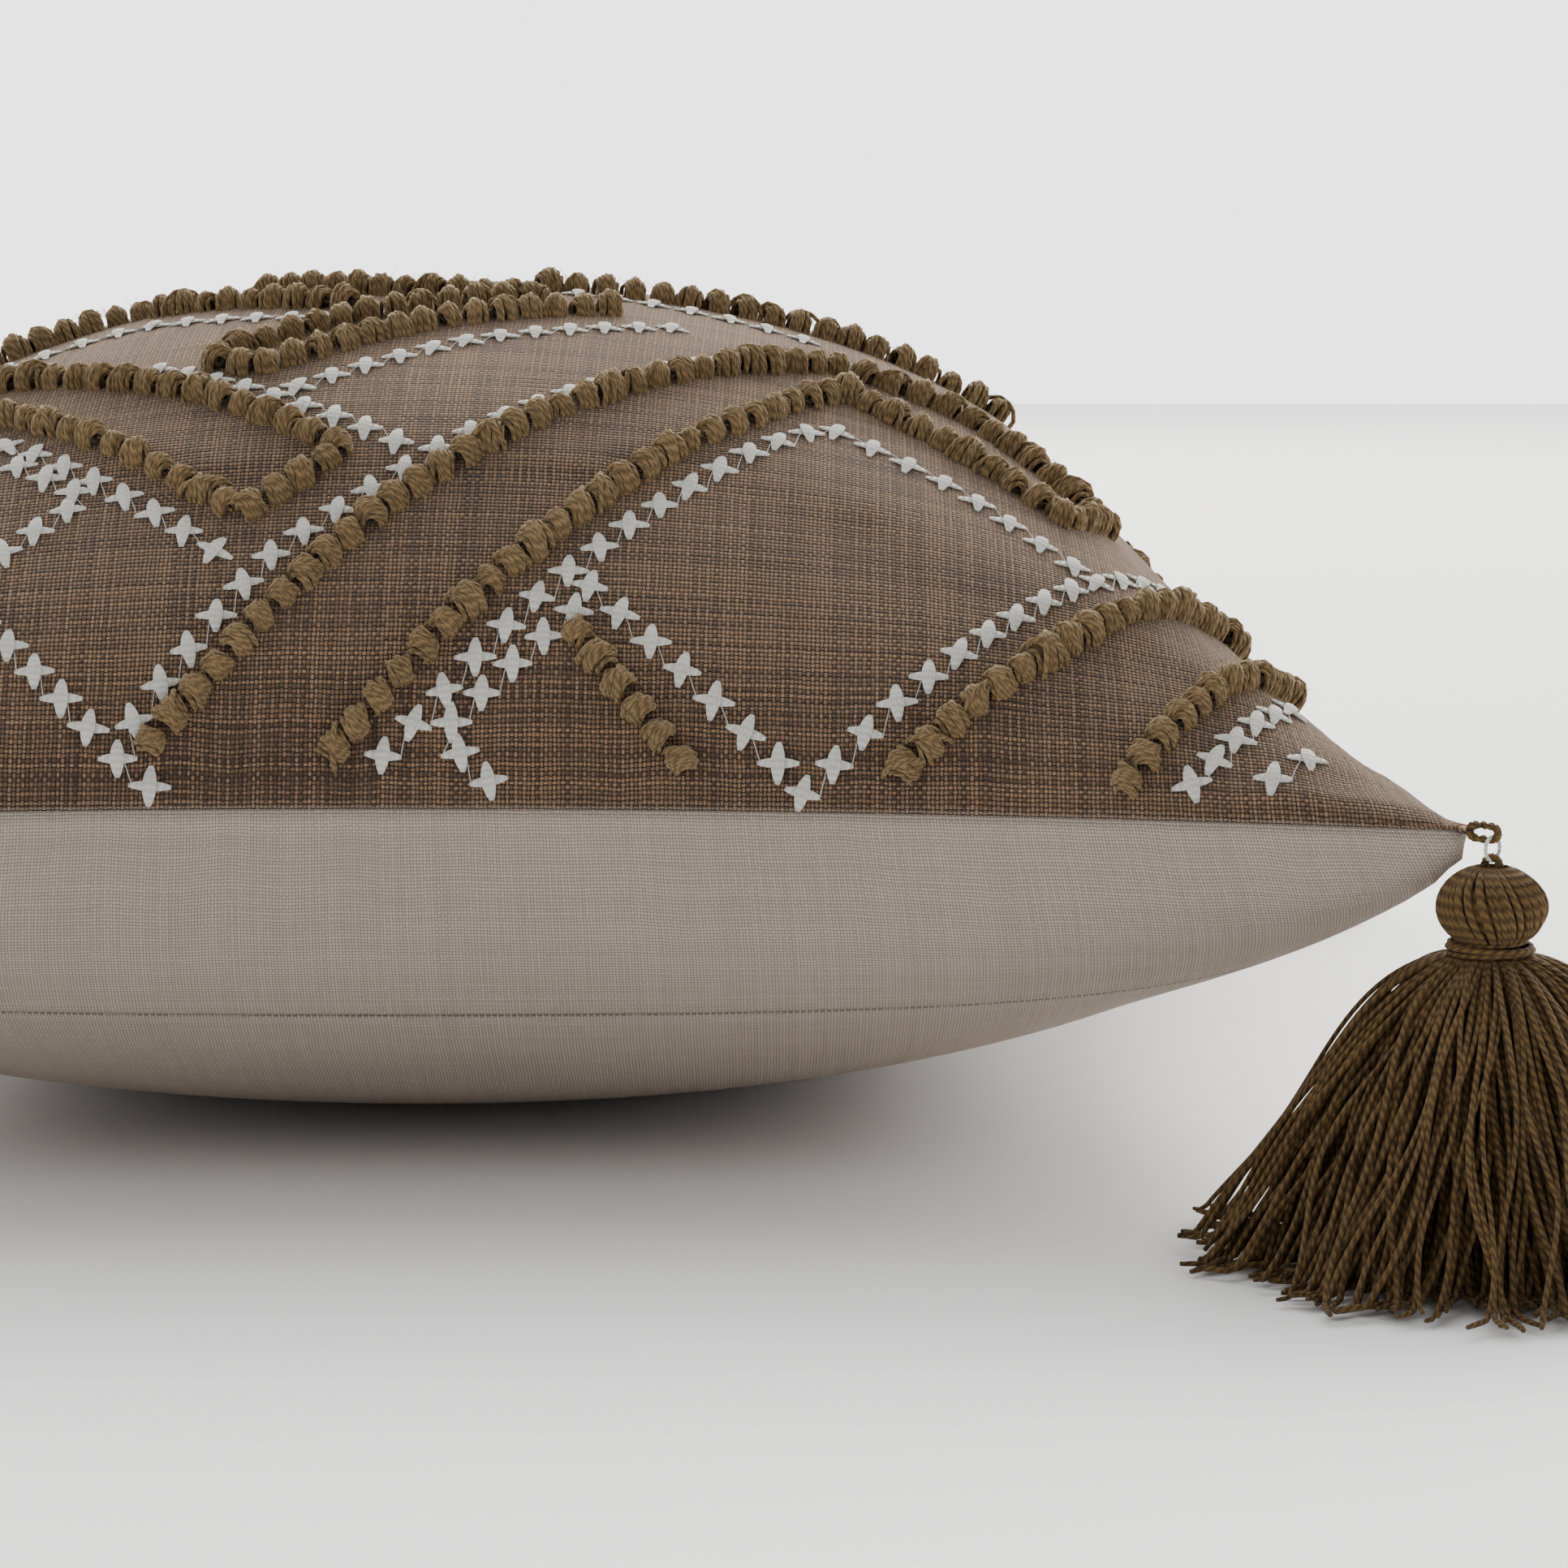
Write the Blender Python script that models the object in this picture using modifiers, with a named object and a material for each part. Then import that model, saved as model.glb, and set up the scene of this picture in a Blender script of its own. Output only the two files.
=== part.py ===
"""Square embroidered throw pillow with a zipped cover, a filled insert and a yarn tassel at each corner.

Metres, +Z up. The origin is on the floor under the middle of the pillow. The pillow lies flat, its
embroidered front up. The edge with the zipper beside it runs along X at -Y.
"""

import math

import bmesh
import bpy
import numpy as np
from mathutils import Matrix, Vector

# ---------------------------------------------------------------- driving dimensions (metres)
SIDE = 0.450                # corner to corner along one edge of the filled cover
EDGE_PULL = 0.155           # how far the middle of an edge draws in, as a share of half a side
PULL_POWER = 1.5            # how much of that draw stays near the edge
TOP_RISE = 0.110            # height of the crown over the seam
TOP_FULLNESS = 0.613        # below 1 the crown is flat and its sides are steep
SEAM_HEIGHT = 0.088         # height of the seam over the floor
FLATTENING = 0.0025         # how much deeper the back would hang if the floor didn't hold it up
WALL_SHARE = 0.72           # share of the back's depth that it drops steeply, beside the seam
WALL_POWER = 0.28           # the lower, the steeper that wall
BELLY_POWER = 0.85          # roundness of the rest of the back

CLEARANCE = 0.0003          # gap between two pieces that touch
COVER_CLOTH = 0.0012        # embroidered front and canvas back
SEAM_GAP = 0.0010           # between the front's edge and the back's edge
CORNER_MOUTH = 0.0070       # height of the slit at a corner, where the tassel's loop goes in
CORNER_MOUTH_POWER = 12     # how fast that slit closes along the edges
OVERLOCK_WIRE = 0.0006      # radius of the overlocked edge inside the seam
OVERLOCK_INSET = 0.0032

INSERT_CLOTH = 0.0008
INSERT_EDGE_EASE = 0.0052   # from the cover's edge to the insert's edge
INSERT_FACE_EASE = 0.0028   # from the cover's face to the insert's face
INSERT_MOUTH = 0.0024       # how far its two faces stand apart at a corner
FILL_EASE = 0.0018          # from the insert's outer face to the filling

ZIP_ACROSS = -0.90          # place of the zipper across the back: -1 is the near edge, 0 the middle
ZIP_REACH = 0.62            # how far the zipper runs towards each side edge, as a share of half a side
ZIP_SLOT = 0.0018           # half the opening between the two folded edges of the back
TAPE_WIDTH = 0.0085
TAPE_CLOTH = 0.0005
TAPE_DEPTH = 0.0032         # tape's face under the outer face of the cover
TAPE_DIP = 0.0014           # how much deeper the tape's outer edge lies
COIL_RADIUS = 0.00065
COIL_GAP = 0.0008           # half the gap between the two rows, which the slider's post runs in
TEETH_END = 0.0060          # bare tape beyond the teeth at each end
STOP_LENGTH = 0.0025
SLIDER_LENGTH = 0.0085
SLIDER_WALL = 0.0008
SLIDER_CLEARANCE = 0.0005
POST_WIDTH = 0.0008
CROWN_LIFT = 0.0009         # slider's outer plate over the cover
SLIDER_END_GAP = 0.0010     # from the closed slider to the end of the teeth
PULL_PIN = 0.00045          # radius
PULL_BORE_CLEARANCE = 0.0002
PULL_LENGTH = 0.021
PULL_WIDTH = 0.0060
PULL_HEAD_WIDTH = 0.0024
PULL_THICKNESS = 0.0010
NECK_THINNING = 0.00005     # how much thinner the pull's neck is on each face
ZIP_RECESS = 0.0080         # how deep the zipper presses into the insert
ZIP_RECESS_SPAN = 0.075     # its half width, as a share of half a side

LOOP_WIRE = 0.0006          # yarn radius of the corner loop and of the tassel's hanging loop
LOOP_HALF_HEIGHT = 0.0018   # to the middle of the yarn
LINK_WIRE = 0.00035
LINK_RADIUS = 0.0026
HANG_RADIUS = 0.0022
HEAD_RADIUS = 0.0105
LINK_OUT = HEAD_RADIUS - 0.0063    # where the link hangs on the corner loop: far enough out for the head
LOOP_CENTRE_OUT = (LINK_OUT - 0.0002) / 2      # corner loop's middle, outwards from the corner
LOOP_HALF_STRAIGHT = LOOP_CENTRE_OUT
HEAD_HEIGHT = 0.0155
HEAD_SHOULDER = 0.0008      # how far the head's top lies under the middle of the hanging loop
NECK_RADIUS = 0.0060
NECK_HEIGHT = 0.0040
BINDING_WIRE = 0.0014
SKIRT_SPREAD = 0.046        # radius of the yarn ends on the floor
SKIRT_BULGE = 0.50          # below 1 the skirt bulges outwards
SKIRT_FLOOR_GAP = 0.0010

FACE_STEPS = 18             # mesh divisions across a face of the cover
INSERT_STEPS = 16
STRIP_STEPS = 4
SEAM_STEPS = 14
ZIP_STEPS = 24
HEAD_TURN_STEPS = 16
SKIRT_TURN_STEPS = 20

# Corners as (name, x sign, y sign).
CORNERS = (
    ("near_right", 1, -1),
    ("near_left", -1, -1),
    ("far_right", 1, 1),
    ("far_left", -1, 1),
)

FRONT, BACK = 1, -1
X_AXIS = Vector((1.0, 0.0, 0.0))


# ---------------------------------------------------------------- scene helpers
def clear_scene():
    """Remove what a new file holds."""
    for obj in list(bpy.data.objects):
        bpy.data.objects.remove(obj, do_unlink=True)


def new_collection(name):
    collection = bpy.data.collections.new(name)
    bpy.context.scene.collection.children.link(collection)
    return collection


def new_material(name, colour, roughness, metallic=0.0):
    material = bpy.data.materials.new(name)
    material.use_nodes = True
    shader = material.node_tree.nodes["Principled BSDF"]
    shader.inputs["Base Color"].default_value = (*colour, 1.0)
    shader.inputs["Roughness"].default_value = roughness
    shader.inputs["Metallic"].default_value = metallic
    material.diffuse_color = (*colour, 1.0)
    return material


def add_mesh(name, bm, material, place=None):
    """Make an object from a bmesh, with its faces pointing out."""
    bmesh.ops.recalc_face_normals(bm, faces=bm.faces)
    mesh = bpy.data.meshes.new(name)
    bm.to_mesh(mesh)
    bm.free()
    return add_object(name, mesh, material, place)


def add_object(name, data, material, place=None):
    data.materials.append(material)
    obj = bpy.data.objects.new(name, data)
    if place is not None:
        obj.matrix_world = place
    parts.objects.link(obj)
    return obj


def add_wire(name, points, radius, material, place=None, cyclic=False, resolution=2):
    """A yarn or wire of round section along points."""
    curve = bpy.data.curves.new(name, "CURVE")
    curve.dimensions = "3D"
    curve.bevel_depth = radius
    curve.bevel_resolution = resolution
    curve.use_fill_caps = not cyclic
    spline = curve.splines.new("POLY")
    spline.points.add(len(points) - 1)
    for point, place_on_curve in zip(spline.points, points):
        point.co = (*place_on_curve, 1.0)
    spline.use_cyclic_u = cyclic
    return add_object(name, curve, material, place)


def add_turned(name, profile, material, place, steps):
    """A turned solid about local Z, from a profile of (radius, height) that runs top to bottom."""
    mesh = bpy.data.meshes.new(name)
    points = [(radius, 0.0, height) for radius, height in profile]
    edges = [(i, i + 1) for i in range(len(points) - 1)]
    mesh.from_pydata(points, edges, [])
    obj = add_object(name, mesh, material, place)
    screw = obj.modifiers.new("turn", "SCREW")
    screw.steps = steps
    screw.render_steps = steps
    screw.use_merge_vertices = True
    screw.merge_threshold = 0.00001
    return obj


# ---------------------------------------------------------------- the pillow's skin
def skin(s, t, face, edge_inset=0.0, face_inset=0.0, zip_press=0.0, seam_gap=None, corner_mouth=None):
    """Point of the skin at (s, t), each from -1 to 1 across the pillow, moved inwards by the insets."""
    half = SIDE / 2 - edge_inset
    x = half * s * (1 - EDGE_PULL * (1 - t * t) * abs(s) ** PULL_POWER)
    y = half * t * (1 - EDGE_PULL * (1 - s * s) * abs(t) ** PULL_POWER)
    swell = max(0.0, (1 - s * s) * (1 - t * t))
    gap = SEAM_GAP if seam_gap is None else seam_gap
    slit = CORNER_MOUTH if corner_mouth is None else corner_mouth
    mouth = gap / 2 + slit / 2 * abs(s * t) ** CORNER_MOUTH_POWER
    if face == FRONT:
        return Vector((x, y, SEAM_HEIGHT + mouth + (TOP_RISE - face_inset) * swell ** TOP_FULLNESS))
    profile = WALL_SHARE * swell**WALL_POWER + (1 - WALL_SHARE) * swell**BELLY_POWER
    depth = mouth + (SEAM_HEIGHT + FLATTENING - face_inset) * profile
    point = Vector((x, y, SEAM_HEIGHT - min(depth, SEAM_HEIGHT - face_inset)))
    if zip_press:
        beside = math.exp(-(((t - ZIP_ACROSS) / ZIP_RECESS_SPAN) ** 2))
        inside = min(1.0, (1 - t * t) / (1 - ZIP_ACROSS**2)) * (1 - s**4)
        point -= zip_out * zip_press * beside * inside
    return point


def zip_frame():
    """Middle of the zipper on the back's skin, with the directions out of the cloth and across the zipper."""
    small = 0.001
    middle = skin(0.0, ZIP_ACROSS, BACK)
    inwards = (skin(0.0, ZIP_ACROSS + small, BACK) - skin(0.0, ZIP_ACROSS - small, BACK)).normalized()
    out = X_AXIS.cross(inwards).normalized()
    if out.z > 0:
        out = -out
    return middle, out, inwards


def spread(low, high, steps):
    """Values from low to high in -1..1, closer together towards the edges of the pillow."""
    turns = np.linspace(math.asin(low), math.asin(high), steps + 1)
    return [float(np.clip(math.sin(turn), -1.0, 1.0)) for turn in turns]


def skin_grid(bm, across, along, place):
    """An open grid of faces with its corners at place(s, t)."""
    bmesh.ops.create_grid(bm, x_segments=len(across) - 1, y_segments=len(along) - 1, size=1.0)
    for vertex in bm.verts:
        column = round((vertex.co.x + 1) / 2 * (len(across) - 1))
        row = round((vertex.co.y + 1) / 2 * (len(along) - 1))
        vertex.co = place(across[column], along[row])


def add_shell(name, across, along, face, cloth, material, **insets):
    """A cloth panel: the skin as an open surface, thickened inwards."""
    bm = bmesh.new()
    skin_grid(bm, across, along, lambda s, t: skin(s, t, face, **insets))
    if face == BACK:
        bmesh.ops.reverse_faces(bm, faces=bm.faces)
    mesh = bpy.data.meshes.new(name)
    bm.to_mesh(mesh)
    bm.free()
    mesh.shade_smooth()
    obj = add_object(name, mesh, material)
    solidify = obj.modifiers.new("cloth", "SOLIDIFY")
    solidify.thickness = cloth
    solidify.offset = -1.0
    return obj


def add_filling(name, material, edge_inset, face_inset, zip_press):
    """The loose filling: the skin's two faces, drawn in and sewn shut at the seam."""
    steps = spread(-1, 1, INSERT_STEPS)
    bm = bmesh.new()
    for face in (FRONT, BACK):
        half = bmesh.new()
        skin_grid(half, steps, steps, lambda s, t: skin(s, t, face, edge_inset, face_inset, zip_press, 0.0, 0.0))
        if face == BACK:
            bmesh.ops.reverse_faces(half, faces=half.faces)
        mesh = bpy.data.meshes.new("half")
        half.to_mesh(mesh)
        half.free()
        bm.from_mesh(mesh)
        bpy.data.meshes.remove(mesh)
    bmesh.ops.remove_doubles(bm, verts=bm.verts, dist=0.00001)
    obj = add_mesh(name, bm, material)
    obj.data.shade_smooth()
    return obj


# ---------------------------------------------------------------- zipper
def zip_arc():
    """Pivot, axis and half angle of the circle that the zipper follows."""
    end = skin(ZIP_REACH, ZIP_ACROSS, BACK)
    rise = Vector((0.0, end.y - zip_middle.y, end.z - zip_middle.z))
    radius = (end.x**2 + rise.length_squared) / (2 * rise.length)
    towards = rise.normalized()
    pivot = zip_middle + towards * radius
    return pivot, X_AXIS.cross(towards), math.asin(end.x / radius), radius


def zip_point(across, depth):
    """A point beside the middle of the zipper: across the tapes, and under the cover's outer face."""
    return zip_middle + zip_inwards * across - zip_out * depth


def turn_about_zip(angle):
    """The motion along the zipper by an angle about its pivot."""
    return (
        Matrix.Translation(zip_pivot)
        @ Matrix.Rotation(angle, 4, zip_axis)
        @ Matrix.Translation(-zip_pivot)
    )


def add_swept(name, section, start, end, steps, material):
    """A solid of constant section along the zipper, from one angle to another."""
    bm = bmesh.new()
    first = turn_about_zip(start)
    verts = [bm.verts.new(first @ zip_point(across, depth)) for across, depth in section]
    edges = [bm.edges.new((verts[i - 1], verts[i])) for i in range(len(verts))]
    bmesh.ops.spin(
        bm, geom=verts + edges, cent=zip_pivot, axis=zip_axis, angle=end - start, steps=steps
    )
    bmesh.ops.holes_fill(bm, edges=[edge for edge in bm.edges if edge.is_boundary], sides=0)
    return add_mesh(name, bm, material)


def rectangle(low_across, high_across, low_depth, high_depth):
    return [
        (low_across, low_depth),
        (high_across, low_depth),
        (high_across, high_depth),
        (low_across, high_depth),
    ]


def circle(across, depth, radius, sides=8):
    angles = [2 * math.pi * (i + 0.5) / sides for i in range(sides)]
    return [(across + radius * math.cos(a), depth + radius * math.sin(a)) for a in angles]


def box(bm, low, high):
    """A box between two corners, in a bmesh."""
    size = Vector(high) - Vector(low)
    middle = (Vector(high) + Vector(low)) / 2
    place = Matrix.Translation(middle) @ Matrix.Diagonal((*size, 1.0))
    bmesh.ops.create_cube(bm, size=1.0, matrix=place)


def add_box_cutter(name, low, high):
    bm = bmesh.new()
    box(bm, low, high)
    return add_cutter(name, bm)


def add_cutter(name, bm):
    bmesh.ops.recalc_face_normals(bm, faces=bm.faces)
    mesh = bpy.data.meshes.new(name)
    bm.to_mesh(mesh)
    bm.free()
    obj = bpy.data.objects.new(name, mesh)
    obj.hide_render = True
    obj.display_type = "WIRE"
    cutters.objects.link(obj)
    return obj


def boolean(obj, tool, operation):
    modifier = obj.modifiers.new(tool.name, "BOOLEAN")
    modifier.operation = operation
    modifier.solver = "EXACT"
    modifier.object = tool
    tool.parent = obj


def slider_place(angle):
    """Local X runs along the zipper, local Y across it, local Z out of the cover."""
    basis = Matrix((X_AXIS, -zip_inwards, zip_out)).transposed()
    if basis.determinant() < 0:
        basis = Matrix((X_AXIS, zip_inwards, zip_out)).transposed()
    return turn_about_zip(angle) @ Matrix.Translation(zip_middle) @ basis.to_4x4()


def coil_depth():
    """Middle of the teeth under the cover's outer face."""
    return TAPE_DEPTH + TAPE_CLOTH + SLIDER_CLEARANCE + COIL_RADIUS


def add_slider(material, place):
    """Inner channel round both rows of teeth, a post out through the slot, and two ears with a pin."""
    half_length = SLIDER_LENGTH / 2
    channel = COIL_GAP + 2 * COIL_RADIUS + SLIDER_CLEARANCE
    floor_top = -(coil_depth() + COIL_RADIUS + SLIDER_CLEARANCE)
    wall_top = -(TAPE_DEPTH + TAPE_CLOTH + TAPE_DIP + CLEARANCE)
    wall_side = channel + SLIDER_WALL
    wall_foot = floor_top - CLEARANCE
    post = POST_WIDTH / 2
    bm = bmesh.new()
    box(bm, (-half_length, -wall_side, floor_top - SLIDER_WALL), (half_length, wall_side, floor_top))
    obj = add_mesh("zip_slider", bm, material, place)
    crown_top = CROWN_LIFT + SLIDER_WALL
    ear_in = PULL_HEAD_WIDTH / 2 + PULL_BORE_CLEARANCE
    ear_top = pin_height() + PULL_PIN + SLIDER_WALL
    ear_half = PULL_PIN + SLIDER_WALL
    pieces = {
        "slider_wall_a": ((-half_length, channel, wall_foot), (half_length, wall_side, wall_top)),
        "slider_wall_b": ((-half_length, -wall_side, wall_foot), (half_length, -channel, wall_top)),
        "slider_post": ((-half_length / 2, -post, wall_foot), (half_length / 2, post, crown_top)),
        "slider_crown": (
            (-half_length / 2, -ear_in - SLIDER_WALL, CROWN_LIFT),
            (half_length / 2, ear_in + SLIDER_WALL, crown_top),
        ),
        "slider_ear_a": ((-ear_half, ear_in, CROWN_LIFT), (ear_half, ear_in + SLIDER_WALL, ear_top)),
        "slider_ear_b": ((-ear_half, -ear_in - SLIDER_WALL, CROWN_LIFT), (ear_half, -ear_in, ear_top)),
    }
    for name, (low, high) in pieces.items():
        boolean(obj, add_box_cutter(name, low, high), "UNION")
    pin = bmesh.new()
    lie = Matrix.Translation((0, 0, pin_height())) @ Matrix.Rotation(math.pi / 2, 4, "X")
    bmesh.ops.create_cone(
        pin, cap_ends=True, segments=10, radius1=PULL_PIN, radius2=PULL_PIN,
        depth=2 * ear_in + SLIDER_WALL, matrix=lie,
    )
    boolean(obj, add_cutter("slider_pin", pin), "UNION")
    return obj


def pull_head_radius():
    return PULL_PIN + PULL_BORE_CLEARANCE + SLIDER_WALL


def pin_height():
    """Pin's middle over the cover's outer face."""
    return CROWN_LIFT + SLIDER_WALL + pull_head_radius() + CLEARANCE


def add_pull(material, place):
    """A flat tab with a round eye at its head, which turns on the slider's pin. Local origin on the pin."""
    bm = bmesh.new()
    bmesh.ops.create_cone(
        bm, cap_ends=True, segments=12, radius1=pull_head_radius(), radius2=pull_head_radius(),
        depth=PULL_HEAD_WIDTH, matrix=Matrix.Rotation(math.pi / 2, 4, "X"),
    )
    obj = add_mesh("zip_pull", bm, material, place @ Matrix.Translation((0, 0, pin_height())))
    clear_of_ears = PULL_PIN + 2 * SLIDER_WALL + CLEARANCE
    half_neck = PULL_HEAD_WIDTH / 2
    neck_start = PULL_PIN + PULL_BORE_CLEARANCE + SLIDER_WALL / 2
    half_thickness = PULL_THICKNESS / 2 - NECK_THINNING
    neck = ((neck_start, -half_neck, -half_thickness), (clear_of_ears + CLEARANCE, half_neck, half_thickness))
    blade_low = (clear_of_ears, -PULL_WIDTH / 2, -PULL_THICKNESS / 2)
    blade_high = (PULL_LENGTH, PULL_WIDTH / 2, PULL_THICKNESS / 2)
    boolean(obj, add_box_cutter("pull_neck", *neck), "UNION")
    boolean(obj, add_box_cutter("pull_blade", blade_low, blade_high), "UNION")
    bore = bmesh.new()
    bore_radius = PULL_PIN + PULL_BORE_CLEARANCE
    bmesh.ops.create_cone(
        bore, cap_ends=True, segments=12, radius1=bore_radius, radius2=bore_radius,
        depth=2 * PULL_HEAD_WIDTH, matrix=Matrix.Rotation(math.pi / 2, 4, "X"),
    )
    boolean(obj, add_cutter("pull_bore", bore), "DIFFERENCE")
    return obj


def build_zipper():
    half_slot = COIL_GAP + 2 * COIL_RADIUS
    tape_start = POST_WIDTH / 2 + SLIDER_CLEARANCE
    tape_low = tape_start + TAPE_WIDTH
    end_angle = zip_half_angle
    stop_angle = end_angle - TEETH_END / zip_radius
    stop_start = stop_angle + CLEARANCE / zip_radius
    stop_end = stop_start + STOP_LENGTH / zip_radius
    stop_depths = (coil_depth() - COIL_RADIUS, coil_depth() + COIL_RADIUS)
    for name, sign in (("main", 1), ("strip", -1)):
        tape = [
            (sign * tape_start, TAPE_DEPTH),
            (sign * tape_low, TAPE_DEPTH + TAPE_DIP),
            (sign * tape_low, TAPE_DEPTH + TAPE_DIP + TAPE_CLOTH),
            (sign * tape_start, TAPE_DEPTH + TAPE_CLOTH),
        ]
        add_swept(f"zip_tape_{name}", tape, -end_angle, end_angle, ZIP_STEPS, tape_material)
        coil = circle(sign * (COIL_GAP + COIL_RADIUS), coil_depth(), COIL_RADIUS)
        add_swept(f"zip_teeth_{name}", coil, -stop_angle, stop_angle, ZIP_STEPS, teeth_material)
        top = rectangle(sign * COIL_GAP, sign * half_slot, *stop_depths)
        add_swept(f"zip_top_stop_{name}", top, -stop_end, -stop_start, 1, metal_material)
    bottom = rectangle(-half_slot, half_slot, *stop_depths)
    add_swept("zip_bottom_stop", bottom, stop_start, stop_end, 1, metal_material)
    closed = -(stop_angle - (SLIDER_LENGTH / 2 + SLIDER_END_GAP) / zip_radius)
    place = slider_place(closed)
    add_slider(metal_material, place)
    add_pull(metal_material, place)
    return closed


# ---------------------------------------------------------------- tassels
def corner_place(sign_x, sign_y):
    """Local X points outwards along the diagonal, local origin at the corner of the seam."""
    turn = Matrix.Rotation(math.atan2(sign_y, sign_x), 4, "Z")
    return Matrix.Translation((sign_x * SIDE / 2, sign_y * SIDE / 2, SEAM_HEIGHT)) @ turn


def ring_points(radius, count, plane):
    """A circle of points in the XZ plane, or in the YZ plane."""
    points = []
    for i in range(count):
        angle = 2 * math.pi * i / count
        side, up = radius * math.sin(angle), radius * math.cos(angle)
        points.append((side, 0.0, up) if plane == "XZ" else (0.0, side, up))
    return points


def stadium_points(half_straight, radius, per_end):
    """A long ring in the XZ plane with round ends."""
    points = []
    for centre, start in ((half_straight, -math.pi / 2), (-half_straight, math.pi / 2)):
        for i in range(per_end + 1):
            angle = start + math.pi * i / per_end
            points.append((centre + radius * math.cos(angle), 0.0, radius * math.sin(angle)))
    return points


def link_pivot_height():
    """Middle of the corner loop's lower yarn, which the link hangs on."""
    return -LOOP_HALF_HEIGHT


def link_middle_height():
    return link_pivot_height() + LOOP_WIRE + LINK_WIRE + CLEARANCE - LINK_RADIUS


def hang_pivot_height():
    """Middle of the link's lower thread, which the tassel hangs on."""
    return link_middle_height() - LINK_RADIUS


def hang_middle_height():
    return hang_pivot_height() + LINK_WIRE + LOOP_WIRE + CLEARANCE - HANG_RADIUS


def head_top_height():
    return hang_middle_height() - HEAD_SHOULDER


def head_profile(top):
    """A round head with a blind bore for the hanging loop and a straight neck under it."""
    bore = HANG_RADIUS + LOOP_WIRE + CLEARANCE
    bore_floor = hang_middle_height() - HANG_RADIUS - LOOP_WIRE - CLEARANCE
    middle = top - HEAD_HEIGHT / 2
    start = math.asin(bore / HEAD_RADIUS)
    end = math.pi - math.asin(NECK_RADIUS / HEAD_RADIUS)
    steps = 8
    points = [(0.0, bore_floor), (bore, bore_floor)]
    for i in range(steps + 1):
        angle = start + (end - start) * i / steps
        points.append((HEAD_RADIUS * math.sin(angle), middle + HEAD_HEIGHT / 2 * math.cos(angle)))
    neck_end = neck_low_height(top)
    points += [(NECK_RADIUS, neck_end), (0.0, neck_end)]
    return points


def neck_low_height(top):
    end = math.pi - math.asin(NECK_RADIUS / HEAD_RADIUS)
    return top - HEAD_HEIGHT / 2 + HEAD_HEIGHT / 2 * math.cos(end) - NECK_HEIGHT


def skirt_profile(top, low):
    """Yarn that bulges out from the neck and spreads to the floor."""
    steps = 7
    points = [(0.0, top)]
    for i in range(steps + 1):
        fall = i / steps
        points.append((NECK_RADIUS + (SKIRT_SPREAD - NECK_RADIUS) * fall**SKIRT_BULGE, top + (low - top) * fall))
    points.append((0.0, low))
    return points


def build_tassel(name, sign_x, sign_y):
    corner = corner_place(sign_x, sign_y)
    loop_place = corner @ Matrix.Translation((LOOP_CENTRE_OUT, 0, 0))
    loop = stadium_points(LOOP_HALF_STRAIGHT, LOOP_HALF_HEIGHT, 5)
    add_wire(f"corner_loop_{name}", loop, LOOP_WIRE, yarn_material, loop_place, cyclic=True, resolution=1)

    link_place = corner @ Matrix.Translation((LINK_OUT, 0, link_pivot_height()))
    drop = link_middle_height() - link_pivot_height()
    link = [(x, y, z + drop) for x, y, z in ring_points(LINK_RADIUS, 12, "YZ")]
    add_wire(f"link_thread_{name}", link, LINK_WIRE, thread_material, link_place, cyclic=True, resolution=1)

    pivot = hang_pivot_height()
    place = corner @ Matrix.Translation((LINK_OUT, 0, pivot))
    drop = hang_middle_height() - pivot
    hang = [(x, y, z + drop) for x, y, z in ring_points(HANG_RADIUS, 12, "XZ")]
    add_wire(f"hanging_loop_{name}", hang, LOOP_WIRE, yarn_material, place, cyclic=True, resolution=1)

    top = head_top_height()
    profile = [(radius, height - pivot) for radius, height in head_profile(top)]
    add_turned(f"tassel_head_{name}", profile, yarn_material, place, HEAD_TURN_STEPS)

    neck_low = neck_low_height(top) - pivot
    flat_side = NECK_RADIUS * (1 - math.cos(math.pi / HEAD_TURN_STEPS))
    ring_radius = NECK_RADIUS + BINDING_WIRE + CLEARANCE + flat_side
    middle = neck_low + NECK_HEIGHT / 2
    band = [(x, y, 0.0) for x, _, y in ring_points(ring_radius, HEAD_TURN_STEPS, "XZ")]
    binding_place = place @ Matrix.Translation((0, 0, middle))
    add_wire(f"neck_binding_{name}", band, BINDING_WIRE, yarn_material, binding_place, cyclic=True)

    skirt_top = neck_low - CLEARANCE
    skirt_low = SKIRT_FLOOR_GAP - SEAM_HEIGHT - pivot
    profile = skirt_profile(skirt_top, skirt_low)
    add_turned(f"tassel_skirt_{name}", profile, yarn_material, place, SKIRT_TURN_STEPS)


# ---------------------------------------------------------------- cover and insert
def build_cover():
    steps = spread(-1, 1, FACE_STEPS)
    add_shell("front_panel", steps, steps, FRONT, COVER_CLOTH, front_material)
    small = 0.01
    cloth_per_share = (skin(0, ZIP_ACROSS + small, BACK) - skin(0, ZIP_ACROSS, BACK)).length / small
    slot = ZIP_SLOT / cloth_per_share
    main_rows = spread(ZIP_ACROSS + slot, 1, FACE_STEPS)
    strip_rows = spread(-1, ZIP_ACROSS - slot, STRIP_STEPS)
    add_shell("back_panel", steps, main_rows, BACK, COVER_CLOTH, back_material)
    add_shell("back_strip", steps, strip_rows, BACK, COVER_CLOTH, back_material)


def build_overlock():
    """The bound raw edges, turned in behind the seam all the way round."""
    steps = spread(-1, 1, SEAM_STEPS)[:-1]
    loop = [(s, -1) for s in steps] + [(1, t) for t in steps]
    loop += [(-s, 1) for s in steps] + [(-1, -t) for t in steps]
    points = []
    for s, t in loop:
        point = skin(s, t, FRONT, edge_inset=OVERLOCK_INSET)
        points.append((point.x, point.y, SEAM_HEIGHT))
    add_wire("seam_overlock", points, OVERLOCK_WIRE, thread_material, cyclic=True, resolution=1)


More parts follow.
